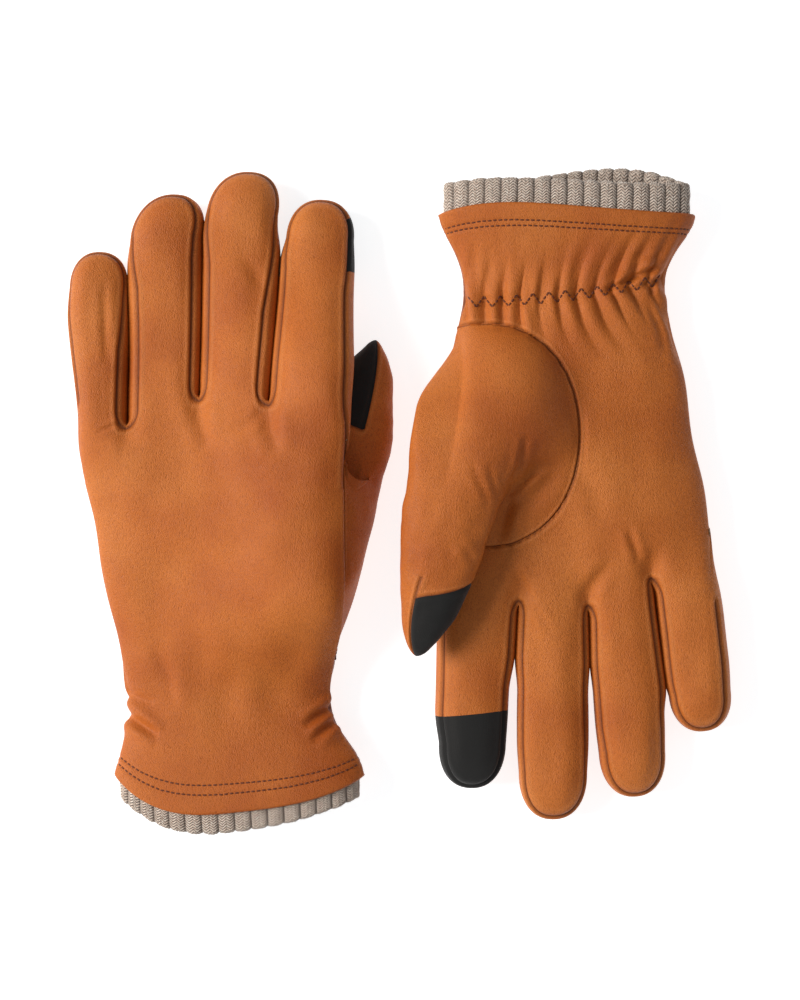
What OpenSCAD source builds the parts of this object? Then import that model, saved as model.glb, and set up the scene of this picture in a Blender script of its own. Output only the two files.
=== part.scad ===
// A pair of lined leather touchscreen gloves, laid flat side by side.
// The left glove lies back up with its fingers toward +Y, over its own thumb. The right glove lies on its
// back, palm up, with its fingers toward -Y and its thumb on top.
// Both gloves use one template. u runs toward the thumb side, v from the wrist to the fingertips, and
// d from the palm to the back of the hand. Lists of four run from the little finger to the index finger.

/* [Hand] */
// Width across the four finger roots
palm_w = 110; // [100:1:124]
// Distance from the wrist's centre line to the index side of the finger roots
index_reach = 49.5; // [45:0.5:54]
// Width across the wrist, at its narrowest
wrist_w = 79; // [72:1:88]
// Width across the leather hem
hem_w = 102; // [94:1:110]
// Length of the leather below the wrist
cuff_len = 36; // [30:1:44]
// Thickness of the hand, lying flat
palm_t = 22; // [20:0.5:25]
// Thickness at the wrist
wrist_t = 18; // [16:0.5:20]
// Height of the cuff's mouth
mouth_t = 24; // [20:0.5:26]

/* [Fingers] */
// How far each fingertip lies beyond the wrist
tip_v = [179, 203, 212, 200]; // [170:0.5:225]
// Width of each finger
finger_w = [24, 28, 29, 28]; // [20:0.5:30]
// Thickness of the fingers, lying flat
finger_t = 18; // [16:0.5:20]
// How far each middle knuckle lies beyond the wrist
knuckle_v = [142, 153, 158, 151]; // [138:0.5:162]
// Width of the side wall between a finger's back and palm
side_wall_w = 9; // [7:0.5:11]
// Room between two fingers
finger_gap = 1.2; // [1:0.1:2]
// Length of the index touch pad
index_pad_len = 31; // [24:0.5:36]

/* [Thumb] */
// Width of the thumb at its root
thumb_w = 33; // [29:0.5:34]
// Thickness of the thumb
thumb_t = 16; // [14:0.5:18]
// Length of the thumb from its root to its tip
thumb_len = 51; // [46:0.5:56]
// Length of the thumb touch pad
thumb_pad_len = 27; // [20:0.5:32]

/* [Materials] */
// Thickness of the leather
leather_t = 1.2; // [1:0.1:1.4]
// Thickness of the fleece lining
lining_t = 1.5; // [1.2:0.1:2]
// Thickness of the rib knit
knit_t = 2.4; // [2:0.1:3]
// How far the knit stands out of the hem
knit_show = 9; // [5:0.5:14]
// Room between two layers or two pieces
gap = 0.3; // [0.25:0.05:0.4]

/* [Hidden] */
SIDES = ["left", "right"];
FINGERS = ["little", "ring", "middle", "index"];
HAND_PIECES = ["back_panel", "palm_panel", "thumb_base", "crotch_walls", "hand_lining", "knit_cuff",
    "wrist_elastic", "hem_stitching", "zigzag_stitching"];
THUMB_PIECES = ["thumb_leather", "thumb_touch_pad", "thumb_lining"];
FINGER_PIECES = ["back", "palm", "fourchette", "lining"];

// Where each glove's wrist centre lies, and the thumb's lean
wrist_at = [[-68.1, -79.5], [65.9, 86.5]];
thumb_root = [47.5, 98];
thumb_lean = 13.4;
// How the finger roots share the hand's width, glove by glove, and how far each tip leans to the thumb side
root_share = [[0.185, 0.257, 0.257, 0.301], [0.234, 0.229, 0.252, 0.285]];
tip_lean = [[-2, 2.8, 6, 4], [-8, -5.5, 0, 2.2]];
// How far each gap between fingers lies beyond the wrist, with the two outer side walls' ends
crotch_v = [106, 112, 123, 121, 114];
// The hem's middle stands further out than its corners, on the back and on the palm
hem_bow = [[8, 0], [0, -3]];
// The wrist and the cuff lie this high, so that their stitching clears the surface below
cuff_rise = 0.6;
// Rows of the hand panels, from the hem to the finger roots
bite_rows = [14.5, 28, 42, 57, 72, 86, 99];
cuff_rows = [-cuff_len, -0.66 * cuff_len, -0.3 * cuff_len, 0];
// The lining starts here, and the knit ends
lining_v = 4;
hand_rows = concat(cuff_rows, [lining_v], bite_rows);
first_bite = len(cuff_rows) + 1;
bite_depth = 24;
bite_column = 12;
// Columns of one finger, as shares of its half width
COLS = [-1, -0.5, 0.5, 1];
TIP_STEPS = [0, 35, 62, 80];
tip_drop = 4;
room = thumb_t + 0.8;
inner_k = leather_t + gap;
leather_tan = [0.72, 0.41, 0.19];
cloth_black = [0.09, 0.09, 0.1];
oatmeal = [0.62, 0.56, 0.48];
thread = [0.42, 0.2, 0.08];
fleece = [0.5, 0.42, 0.34];

function smooth(t) = let (c = min(1, max(0, t))) c * c * (3 - 2 * c);
function mix(a, b, t) = a + (b - a) * t;

// The hand's outline and thickness along v
function side_l(v) = -lookup(v, [[-cuff_len, hem_w / 2], [-14, wrist_w / 2 + 4], [0, wrist_w / 2],
    [25, wrist_w / 2 + 6], [107, palm_w - index_reach]]);
function side_r(v) = lookup(v, [[-cuff_len, hem_w / 2], [-14, wrist_w / 2 + 4], [0, wrist_w / 2],
    [25, wrist_w / 2 + 3], [96, index_reach - 3.5], [114, index_reach]]);
function thick(v) = lookup(v, [[-cuff_len, mouth_t], [-12, wrist_t + 1.5], [0, wrist_t], [30, palm_t - 1],
    [75, palm_t], [110, (palm_t + finger_t) / 2 + 0.5], [150, finger_t]]);

// How high the left hand lies over its thumb
function rise(u, v) = room * smooth((u + 30) / 75) * smooth(v / 45) * (1 - smooth((v - 128) / 60));

// A template point in the pair's frame. lift overrides the left hand's rise
function place(g, u, v, d, lift = undef) = let (low = cuff_rise * (1 - smooth(v / 30))) g == 0
    ? [wrist_at[0].x + u, wrist_at[0].y + v, low + d + (is_undef(lift) ? rise(u, v) : lift)]
    : [wrist_at[1].x - u, wrist_at[1].y - v, low + thick(v) - d];

// Finger f: its root edges, root centre, tip and direction
function root_edge(g, i) = i == 0 ? index_reach - palm_w
    : root_edge(g, i - 1) + palm_w * root_share[g][i - 1];
function root_half(g, f) = palm_w * root_share[g][f] / 2 - finger_gap / 2;
function root_c(g, f) = [(root_edge(g, f) + root_edge(g, f + 1)) / 2, (crotch_v[f] + crotch_v[f + 1]) / 2];
function tip_c(g, f) = [root_c(g, f).x + tip_lean[g][f], tip_v[f]];
function finger_len(g, f) = norm(tip_c(g, f) - root_c(g, f));
function along(g, f) = (tip_c(g, f) - root_c(g, f)) / finger_len(g, f);
function across(g, f) = [along(g, f).y, -along(g, f).x];
// Two neighbours share the room between their axes, where both have their full width and where the shorter
// one's tip begins to round
function axis_u(g, f, v) = root_c(g, f).x + tip_lean[g][f] * (v - root_c(g, f).y) / (tip_v[f] - root_c(g, f).y);
function room_share(g, a, b) = let (
    end = min(tip_v[a] - finger_w[a] / 2, tip_v[b] - finger_w[b] / 2),
    full = mix(crotch_v[b], end, 0.6))
    min([for (v = [full, end]) 2 * (axis_u(g, b, v) - axis_u(g, a, v) - gap) / (finger_w[a] + finger_w[b])]);
function tip_r(g, f) = finger_w[f] / 2 * min(1, f == 0 ? 1 : room_share(g, f - 1, f),
    f == 3 ? 1 : room_share(g, f, f + 1));
function straight_len(g, f) = finger_len(g, f) - tip_r(g, f);
function half_w(g, f, s) = mix(root_half(g, f), tip_r(g, f), smooth(s / (0.75 * straight_len(g, f))));
function crotch_s(g, f, x) = (mix(crotch_v[f], crotch_v[f + 1], (x + 1) / 2) - root_c(g, f).y);
function knuckle_s(g, f) = knuckle_v[f] - root_c(g, f).y;

// A finger's section at s and inset k: step is the tip's angle, and COLS give the back and the palm points
function fin_uv(g, f, s, x, k, step) = let (
    r = tip_r(g, f),
    reach = s + (r - k) * sin(step),
    a = (half_w(g, f, s) - k) * cos(step))
    root_c(g, f) + along(g, f) * reach + across(g, f) * x * a;
function fin_top(s_v, step, k) = thick(s_v) - k - tip_drop * (1 - cos(step));
function fin_low(step, k) = k + tip_drop * 0.6 * (1 - cos(step));
function seam_hi(v, step) = (thick(v) + side_wall_w) / 2 - tip_drop * 0.4 * (1 - cos(step));
function seam_lo(v, step) = (thick(v) - side_wall_w) / 2 + tip_drop * 0.3 * (1 - cos(step));
function fin_back(g, f, s, x, k, step = 0) = let (p = fin_uv(g, f, s, x, k, step))
    [p.x, p.y, abs(x) == 1 ? seam_hi(p.y, step) : fin_top(p.y, step, k)];
function fin_palm(g, f, s, x, k, step = 0) = let (p = fin_uv(g, f, s, x, k, step))
    [p.x, p.y, abs(x) == 1 ? seam_lo(p.y, step) : fin_low(step, k)];

// A column of the hand: its finger, its share of that finger, and its share of the whole width
function col_f(j) = floor(j / 4);
function col_x(j) = COLS[j % 4];
function col_share(g, j) = let (
    u = root_c(g, col_f(j)).x + col_x(j) * (col_x(j) * col_x(j) == 1 ? root_half(g, col_f(j)) + finger_gap / 2
        : root_half(g, col_f(j))))
    (u - root_edge(g, 0)) / palm_w * 2 - 1;
function edge_g(x) = let (t = max(0, abs(x) - 0.55) / 0.45) t * t;
function mid_u(v) = (side_l(v) + side_r(v)) / 2;
function half_u(v) = (side_r(v) - side_l(v)) / 2;

// The palm panel's bite for the thumb: its edge follows half an ellipse
function bite_edge(g, v) = let (t = (v - 57) / 42.5)
    mid_u(v) + half_u(v) * col_share(g, bite_column) - bite_depth * sqrt(max(0, 1 - t * t));
function bite_line(g, v) = lookup(v, [for (i = [0:len(bite_rows) - 1]) let (
    r = bite_rows[i],
    end = i == 0 || i == len(bite_rows) - 1)
    [r, end ? mid_u(r) + half_u(r) * col_share(g, bite_column) : bite_edge(g, r)]]);
function hand_u(g, j, v, bite, k) = let (
    x = col_share(g, j),
    xb = col_share(g, bite_column),
    l = side_l(v) + k,
    r = side_r(v) - k,
    e = bite_edge(g, v) - k)
    !bite || v < bite_rows[0] + 0.1 || v > 98.9 ? mix(l, r, (x + 1) / 2)
    : x <= xb ? mix(l, e, (x + 1) / (xb + 1)) : mix(e, r, (x - xb) / (1 - xb));
function hem_v(g, layer, x, v) = v < 0 ? v * (1 + hem_bow[g][layer] * (1 - x * x) / cuff_len) : v;

// Points of the hand's back (layer 0) and palm (layer 1) at row v, with inset k
function hand_pt(g, layer, j, v, k) = let (
    u = hand_u(g, j, v, layer == 1, k),
    x = (u - mid_u(v)) / half_u(v),
    t = thick(v),
    comb = smooth((v - 85) / 30),
    edge = abs(col_share(g, j)) == 1,
    wall = mix(0.15, side_wall_w / 2, smooth((v - 95) / 16)),
    valley = abs(col_x(j)) == 1 ? comb * (t - side_wall_w) / 2 : 0,
    back = edge ? t / 2 + wall : max(t / 2, t - k - max((t / 2) * edge_g(x), valley)),
    palm = edge ? t / 2 - wall : min(t / 2, k + max((t / 2) * edge_g(x), valley)))
    [u, hem_v(g, layer, x, v), layer == 0 ? back : palm];

// Rows of a hand panel: hem to finger roots, then each finger root to its knuckle
root_steps = [0, 0.5, 1];
function panel_rows(g, layer, k, rows) = concat(
    [for (v = rows) [for (j = [0:15]) let (p = hand_pt(g, layer, j, v, k)) place(g, p.x, p.y, p.z)]],
    [for (t = root_steps) [for (j = [0:15]) let (
        f = col_f(j),
        x = col_x(j),
        s = mix(crotch_s(g, f, x), knuckle_s(g, f), t),
        p = layer == 0 ? fin_back(g, f, s, x, k) : fin_palm(g, f, s, x, k)) place(g, p.x, p.y, p.z)]]);
function in_bite(i, j, first) = j >= bite_column && i >= first && i < first + len(bite_rows) - 1;
function panel_mask(n, layer, first) = [for (i = [0:n + 1]) [for (j = [0:14])
    !(i >= n && j % 4 == 3) && !(layer == 1 && in_bite(i, j, first))]];

// A closed shell between two grids of points, over the cells that the mask keeps. The outer grid lies on the
// side of (column direction) x (row direction). wrap joins the last column to the first, and cap closes
// the last row.
module shell(outer, inner, mask = [], wrap = false, cap = false, flip = false) {
    rows = len(outer);
    cols = len(outer[0]);
    n = rows * cols;
    last = wrap ? cols - 1 : cols - 2;
    function at(i, j) = i * cols + j % cols;
    function kept(i, j) = i >= 0 && i < rows - 1 && (wrap || (j >= 0 && j <= last))
        && (len(mask) == 0 || mask[i][(j + cols) % cols]);
    function quad(a, b, c, e) = [[a, b, c], [a, c, e]];
    faces = [for (i = [0:rows - 2], j = [0:last]) if (kept(i, j)) let (
        a = at(i, j), b = at(i + 1, j), c = at(i + 1, j + 1), e = at(i, j + 1)) each concat(
            quad(a, b, c, e),
            quad(n + a, n + e, n + c, n + b),
            kept(i - 1, j) ? [] : quad(a, e, n + e, n + a),
            kept(i + 1, j) || (cap && i == rows - 2) ? [] : quad(c, b, n + b, n + c),
            kept(i, j - 1) ? [] : quad(b, a, n + a, n + b),
            kept(i, j + 1) ? [] : quad(e, c, n + c, n + e))];
    ends = cap ? [for (j = [1:cols - 2]) each [[at(rows - 1, 0), at(rows - 1, j + 1), at(rows - 1, j)],
        [n + at(rows - 1, 0), n + at(rows - 1, j), n + at(rows - 1, j + 1)]]] : [];
    all_faces = concat(faces, ends);
    polyhedron(points = concat([for (r = outer) each r], [for (r = inner) each r]),
        faces = flip ? [for (t = all_faces) [t[2], t[1], t[0]]] : all_faces);
}

// Both panels of a hand, in leather or in lining
module hand_back(g, k, t, rows) {
    shell(panel_rows(g, 0, k, rows), panel_rows(g, 0, k + t, rows),
        mask = panel_mask(len(rows), 0, 0), flip = g == 1);
}

module hand_palm(g, k, t, rows, first) {
    shell(panel_rows(g, 1, k + t, rows), panel_rows(g, 1, k, rows),
        mask = panel_mask(len(rows), 1, first), flip = g == 1);
}

module back_panel(g) color(leather_tan) hand_back(g, 0, leather_t, hand_rows);

module palm_panel(g) color(leather_tan) hand_palm(g, 0, leather_t, hand_rows, first_bite);

// Side walls of the finger roots, from the gap between two fingers to the middle knuckle
module crotch_walls(g) color(leather_tan)
    for (f = [0:3], x = [-1, 1]) {
        s0 = crotch_s(g, f, x) + gap;
        s1 = knuckle_s(g, f);
        stations = [for (t = root_steps) mix(s0, s1, t)];
        wall(g, [for (s = stations) [fin_uv(g, f, s, x, 0, 0), fin_uv(g, f, s, x, leather_t, 0), 0]], x > 0);
    }

// One side wall along a path of [outer point, inner point, tip step]
module wall(g, path, turned) {
    function edge(p, step, hi) = hi ? seam_hi(p.y, step) - gap / 2 : seam_lo(p.y, step) + gap / 2;
    function grid(i) = [for (p = path) [for (hi = [false, true])
        place(g, p[i].x, p[i].y, edge(p[i], p[2], hi))]];
    shell(grid(0), grid(1), flip = turned != (g == 1));
}

// Lining of the hand: a back and a palm, with the same opening for the thumb
lining_rows = concat([lining_v], bite_rows);
module hand_lining(g) color(fleece) {
    hand_back(g, inner_k, lining_t, lining_rows);
    hand_palm(g, inner_k, lining_t, lining_rows, 1);
}

// Rib knit tube inside the cuff, from past the hem to the lining
function ring_pt(g, j, v, k) = let (
    back = j < 16,
    p = hand_pt(g, back ? 0 : 1, back ? j : 31 - j, v, k),
    x = (p.x - mid_u(v)) / half_u(v),
    out = v < -cuff_len ? v - hem_bow[g][0] * (1 - x * x) : p.y)
    place(g, p.x, out, p.z);

module knit_cuff(g) {
    rows = concat([-cuff_len - knit_show], cuff_rows, [lining_v - gap]);
    function ring(v, k) = [for (j = [0:31]) ring_pt(g, j, v, k)];
    color(oatmeal) shell([for (v = rows) ring(v, inner_k)], [for (v = rows) ring(v, inner_k + knit_t)],
        wrap = true, flip = g == 1);
}

// The palm's outer face at u, v, and its wrist line from side to side
function palm_d(u, v) = thick(v) / 2 * edge_g((u - mid_u(v)) / half_u(v));
wrist_margin = 8;
function wrist_u(t) = mix(side_l(0) + wrist_margin, side_r(0) - wrist_margin, t);

// Elastic band across the palm side of the wrist, between the leather and the knit
elastic_w = 6;
wrist_line_v = -4;
elastic_t = 0.2;
module wrist_elastic(g) {
    vs = [wrist_line_v - elastic_w / 2, wrist_line_v + elastic_w / 2 - 0.2];
    function pt(j, v, k) = let (p = hand_pt(g, 1, j, v, leather_t + 0.05 + k)) place(g, p.x, p.y, p.z);
    color(oatmeal) shell([for (v = vs) [for (j = [1:14]) pt(j, v, elastic_t)]],
        [for (v = vs) [for (j = [1:14]) pt(j, v, 0)]], flip = g == 1);
}

// Two rows of stitching along the leather hem, on the back and on the palm
stitch_t = 0.25;
module hem_stitching(g) {
    function row(layer, v, dz) = [for (j = [1:14]) let (p = hand_pt(g, layer, j, v, 0))
        place(g, p.x, p.y, p.z + dz)];
    function rows(layer, v, dz) = [for (w = [0, 0.6]) row(layer, v + w, dz)];
    color(thread) for (from_hem = [7, 10.2]) {
        v = -cuff_len + from_hem;
        shell(rows(0, v, stitch_t + 0.05), rows(0, v, 0.05), flip = g == 1);
        shell(rows(1, v, -0.05), rows(1, v, -0.05 - stitch_t), flip = g == 1);
    }
}

// Zigzag stitching that gathers the palm side of the wrist
zigzags = 12;
zigzag_reach = 1.8;
module zigzag_stitching(g) {
    n = zigzags * 2;
    function pt(i, w, k) = let (
        u = wrist_u(i / n),
        v = wrist_line_v + (i % 2 == 0 ? -zigzag_reach : zigzag_reach) + w)
        place(g, u, v, palm_d(u, v) - 0.05 - stitch_t * k);
    color(thread) shell([for (w = [0, 0.7]) [for (i = [0:n]) pt(i, w, 0)]],
        [for (w = [0, 0.7]) [for (i = [0:n]) pt(i, w, 1)]], flip = g == 1);
}

// The thumb's base: a half tube that rises out of the palm's bite and closes on the hand's side seam
thumb_along = [sin(thumb_lean), cos(thumb_lean)];
thumb_across = [cos(thumb_lean), -sin(thumb_lean)];
thumb_d = -room + thumb_t / 2;
function thumb_half(s) = thumb_w / 2 * pow(max(0, 1 - pow(s / thumb_len, 1.6)), 0.62);
function base_row(g, v, k) = let (
    t = smooth((v - 10) / 88),
    ua = bite_line(g, v) + gap,
    ub = side_r(v) - k * 0.5,
    uo = mix(side_r(v) + 1, thumb_root.x + thumb_w / 2 * cos(thumb_lean), smooth((v - 8) / 80)),
    inner_u = mix(ua, thumb_root.x - thumb_w / 2, smooth((v - 60) / 38)),
    c = (inner_u + uo) / 2,
    a = (uo - inner_u) / 2 - k,
    dc = mix(3, thumb_d, t),
    b = mix(4, thumb_t / 2, t) - k,
    um = mix(uo, ub, 0.6) - k,
    lift = g == 0 ? rise(50, v) : undef,
    turn = smooth((v - 57) / (thumb_root.y - 57)) * tan(thumb_lean))
    concat([place(g, ua + k * 0.3, v, 1 + k * 0.3)],
        [for (q = [0:8]) let (
            w = 180 + q * 22.5,
            u = c + a * cos(w))
            place(g, u, v - turn * (u - thumb_root.x), dc + b * sin(w), lift)],
        [place(g, um, v - turn * (um - thumb_root.x), mix(dc, thick(v) / 2, 0.65), lift),
            place(g, ub - k, v, thick(v) / 2 - 0.6, lift)]);
base_rows = [15, 28, 42, 57, 72, 86, thumb_root.y];
module thumb_base(g) color(leather_tan)
    shell([for (v = base_rows) base_row(g, v, leather_t)], [for (v = base_rows) base_row(g, v, 0)],
        flip = g == 1);

// The thumb's tube, from its root to its tip
thumb_steps = [0, 8, 16, thumb_len - thumb_pad_len, 33, 41, 46.5, 50];
pad_step = 3;
function thumb_ring(g, s, k) = let (
    a = max(0.4, thumb_half(s) - k),
    b = max(0.3, thumb_t / 2 * sqrt(max(0.01, 1 - pow(s / thumb_len, 4))) - k),
    base = thumb_root + thumb_along * (s + gap))
    [for (q = [0:11]) let (
        w = 195 - q * 30,
        p = base + thumb_across * a * cos(w))
        place(g, p.x, p.y, thumb_d + b * sin(w), g == 0 ? room : undef)];
function thumb_grid(g, k, steps) = [for (s = steps) thumb_ring(g, s, k)];
function on_pad(i, j) = i >= pad_step && j >= 6;
module thumb_leather(g) color(leather_tan)
    shell(thumb_grid(g, 0, thumb_steps), thumb_grid(g, leather_t, thumb_steps),
        mask = [for (i = [0:len(thumb_steps) - 2]) [for (j = [0:11]) !on_pad(i, j)]],
        wrap = true, flip = g == 1);

module thumb_touch_pad(g) color(cloth_black)
    shell(thumb_grid(g, 0, thumb_steps), thumb_grid(g, leather_t, thumb_steps),
        mask = [for (i = [0:len(thumb_steps) - 2]) [for (j = [0:11]) on_pad(i, j)]],
        wrap = true, flip = g == 1);

module thumb_lining(g) color(fleece) {
    steps = [for (s = thumb_steps) min(s, thumb_len - 5)];
    used = [for (i = [0:len(steps) - 3]) steps[i]];
    shell(thumb_grid(g, inner_k, used), thumb_grid(g, inner_k + lining_t, used),
        wrap = true, cap = true, flip = g == 1);
}

// Moving part of finger f: its stations run from the knuckle to the tip as [s, tip step]
function stations(g, f) = concat(
    [for (t = [0, 0.5]) [mix(knuckle_s(g, f) + gap, straight_len(g, f), t), 0]],
    [for (step = TIP_STEPS) [straight_len(g, f), step]]);
function strip(g, f, list, layer, k) = [for (st = list) [for (x = COLS) let (
    p = layer == 0 ? fin_back(g, f, st[0], x, k, st[1]) : fin_palm(g, f, st[0], x, k, st[1]))
    place(g, p.x, p.y, p.z)]];
function pad_s(g, f) = f == 3 ? finger_len(g, f) - index_pad_len : 0;

module finger_back(g, f) color(leather_tan)
    shell(strip(g, f, stations(g, f), 0, 0), strip(g, f, stations(g, f), 0, leather_t), flip = g == 1);

module palm_strip(g, f, list)
    shell(strip(g, f, list, 1, leather_t), strip(g, f, list, 1, 0), flip = g == 1);

module finger_palm(g, f) color(leather_tan)
    palm_strip(g, f, f < 3 ? stations(g, f) : let (end = pad_s(g, f) - gap / 2)
        [[knuckle_s(g, f) + gap, 0], each [for (st = stations(g, f)) if (st[1] == 0 && st[0] > knuckle_s(g, f) + 1
            && st[0] < end - 1) st], [end, 0]]);

module index_touch_pad(g) color(cloth_black)
    palm_strip(g, 3, concat([[pad_s(g, 3) + gap / 2, 0]],
        [for (step = TIP_STEPS) [straight_len(g, 3), step]]));

module finger_fourchette(g, f) {
    list = stations(g, f);
    n = len(list);
    function at(st, x) = [fin_uv(g, f, st[0], x, 0, st[1]), fin_uv(g, f, st[0], x, leather_t, st[1]), st[1]];
    color(leather_tan) wall(g, concat([for (i = [0:n - 1]) at(list[i], -1)], [for (i = [n - 1:-1:0]) at(list[i], 1)]), false);
}

module finger_lining(g, f) {
    function ring(st, k) = concat(
        [for (x = COLS) fin_back(g, f, st[0], x, k, st[1])],
        [for (x = [1, 0.5, -0.5, -1]) fin_palm(g, f, st[0], x, k, st[1])]);
    function grid(k) = [for (st = stations(g, f)) [for (p = ring(st, k)) place(g, p.x, p.y, p.z)]];
    color(fleece) shell(grid(inner_k), grid(inner_k + lining_t), wrap = true, cap = true, flip = g == 1);
}

for (g = [0, 1]) {
    back_panel(g);
    palm_panel(g);
    thumb_base(g);
    crotch_walls(g);
    hand_lining(g);
    knit_cuff(g);
    wrist_elastic(g);
    hem_stitching(g);
    zigzag_stitching(g);
    thumb_leather(g);
    thumb_touch_pad(g);
    thumb_lining(g);
    index_touch_pad(g);
    for (f = [0:3]) {
        finger_back(g, f);
        finger_palm(g, f);
        finger_fourchette(g, f);
        finger_lining(g, f);
    }
}
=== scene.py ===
"""The looks of a pair of lined leather touchscreen gloves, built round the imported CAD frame.

Both gloves use part.scad's template: u runs toward the thumb side, v from the wrist to the fingertips and d
from the palm to the back of the hand, all in millimetres. g is 0 for the left glove and 1 for the right one.
f runs from 0, the little finger, to 3, the index finger. A layer is 0 for the back, 1 for the palm and 2 for
the thumb. The left glove is seen from its back and the right one from its palm, so the seen layer is g.
"""

import math

import bpy
import numpy as np
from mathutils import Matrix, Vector


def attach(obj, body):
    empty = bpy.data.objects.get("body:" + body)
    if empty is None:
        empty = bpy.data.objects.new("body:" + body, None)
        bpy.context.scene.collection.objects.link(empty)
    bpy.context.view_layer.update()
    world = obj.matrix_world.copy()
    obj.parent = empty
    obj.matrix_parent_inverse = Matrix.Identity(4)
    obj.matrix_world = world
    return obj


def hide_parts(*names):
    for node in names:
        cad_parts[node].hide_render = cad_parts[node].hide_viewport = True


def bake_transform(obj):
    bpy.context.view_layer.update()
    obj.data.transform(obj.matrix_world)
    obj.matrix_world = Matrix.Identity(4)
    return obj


MM = 0.001
SIDES = ("left", "right")
FINGERS = ("little", "ring", "middle", "index")

# The template's sizes, as in part.scad
PALM_W, INDEX_REACH, WRIST_W, HEM_W, CUFF_LEN = 110, 49.5, 79, 102, 36
PALM_T, WRIST_T, MOUTH_T = 22, 18, 24
TIP_V = (179, 203, 212, 200)
FINGER_W = (24, 28, 29, 28)
FINGER_T = 18
KNUCKLE_V = (142, 153, 158, 151)
FINGER_GAP = 1.2
INDEX_PAD_LEN = 31
THUMB_W, THUMB_T, THUMB_LEN = 33, 16, 51
WRIST_AT = ((-68.1, -79.5), (65.9, 86.5))
THUMB_ROOT = np.array((47.5, 98.0))
THUMB_LEAN = math.radians(13.4)
ROOT_SHARE = ((0.185, 0.257, 0.257, 0.301), (0.234, 0.229, 0.252, 0.285))
TIP_LEAN = ((-2, 2.8, 6, 4), (-8, -5.5, 0, 2.2))
CROTCH_V = (106, 112, 123, 121, 114)
CUFF_RISE = 0.6
ROOM = THUMB_T + 0.8  # the height that the left hand is raised where it lies on the thumb
BITE_C, BITE_R, BITE_POWER = (33.0, 60.0), (39.0, 45.0), 2.2  # the thumb's opening in the palm panel

# What the leather does beyond the template, with values for (left glove, right glove).
# How far each finger's seams lie inside its outline on the seen layer: (little finger's side, thumb's side)
INSET = (((1.2, 3.4), (4.0, 3.4), (2.8, 4.4), (2.0, 3.0)), ((2.8, 1.9), (1.8, 2.0), (1.8, 2.0), (2.0, 2.2)))
# The same beside the fingertips, ahead of them, and on the layer that isn't seen
INSET_TIP = (((0.3, 0.4), (0.3, 2.4), (0.3, 0.6), (0.4, 1.5)),
             ((2.8, 1.5), (1.6, 2.5), (1.0, 2.0), (1.8, 2.0)))
INSET_AHEAD = (0.25, 1.2)
INSET_HIDDEN, INSET_HIDDEN_TIP = 2.5, 2.4
INSET_FADE = ((22, 26), (22, 10), (22, 40), (12, 22))  # length over which one goes over into the other
# How much each finger narrows toward its tip, on its two sides
TAPER = (((2.2, 0.5), (1.6, 0.9), (1.4, 0.5), (2.2, 1.2)), ((1.2, 1.0), (1.0, 0.8), (0.9, 1.1), (0.5, 3.0)))
# How far each finger sways sideways, at its root and at its tip
SWAY = (((0.2, -0.8), (-0.3, -2.4), (-0.5, -2.3), (0, -0.6)),
        ((-0.8, -1.2), (-0.4, -1.3), (0, 0), (0.3, 1.2)))
TIP_MORE = ((0.8, 0, 0, 0.8), (0, 2.2, 2.3, 1.8))  # how much further each fingertip reaches
TIP_SLANT = ((1.2, 3.4, 2.4, 0.8), (0, 0, 0, 0))  # how far each fingertip leans over
TOUCH_V = ((175, 190, 178), (161, 152, 150))  # v up to which neighbouring fingers touch
LITTLE_MORE, INDEX_MORE = (0, 1.2), (1.0, 1.5)  # extra width on the outer sides of these two fingers
SWELL = (-1.2, 0)  # how far the little finger's side of the hand swells
TIP_REACH = (1.14, 1.3)  # length of a fingertip's rounding, in half widths
TIP_P = 2.25  # how square a fingertip is in plan
CROTCH_SHIFT = (-3.2, 5.3)  # how much further along the hand the fingers part
CROTCH_LIP = 2.2  # how far the leather between two fingers stands above their seams
ROUND = 2.35  # superellipse power of a finger's section
UP_POWER, DOWN_POWER = 2.5, 3.6  # the same for the hand's upper and lower sides
BLEND_REACH = 13.0  # half the length of finger that a bent knuckle takes up
THUMB_LESS = (0.06, 0)  # share of its length that the thumb is shorter
THUMB_MORE = (-0.6, 1.3)  # how much the tube bulges outward at its root
# The outer edge of the thumb's base: outward start, both pulls, lean where it meets the tube
THUMB_EDGE = ((0.22, 0.36, 0.42, 0.23), (0.5, 0.46, 0.72, 0.07))
# The hem: v at the middle of the back, at the middle of the palm and at the corners; the knit's rim likewise
HEM = ((-42.8, -37, -29.5), (-36, -30.5, -27.8))
HEM_TILT = (5.5, -4.0)  # how much the hem leans, and the rim
RIM = ((-50.6, -47, -38), (-45.0, -40.4, -39.4))
RIM_TILT = (6.0, 5.5)
CUFF_SHIFT, CUFF_WIDE = (4.0, -1.2), (0, 0.03)  # how far the cuff lies aside, and widens
HEM_ROLL = 1.15  # radius of the turned hem
HEM_ROWS = ((5.6, 8.6), (6.8, 9.4))  # both stitch rows, from the hem
STITCH, STITCH_GAP, THREAD_R = 1.6, 0.55, 0.32
ZIGZAGS, ZIGZAG_REACH, SEAM_MARGIN = 12, 2.3, 2.0  # zigzags, half their height, and bare leather beside them
KNIT_T, RIBS, RIB_STEPS, KNIT_ROW = 2.4, 32, 24, 1.12  # KNIT_ROW is the height of one stitch
KNIT_INSET, KNIT_FOLD = 2.3, -45  # how far the knit lies inside the leather, and v where it folds over
LINING_DEPTH, HAND_LINING_DEPTH, ELASTIC_DEPTH = 2.0, 2.2, 1.6
FAR = 99.0  # stands for a seam distance where there is no seam

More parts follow.
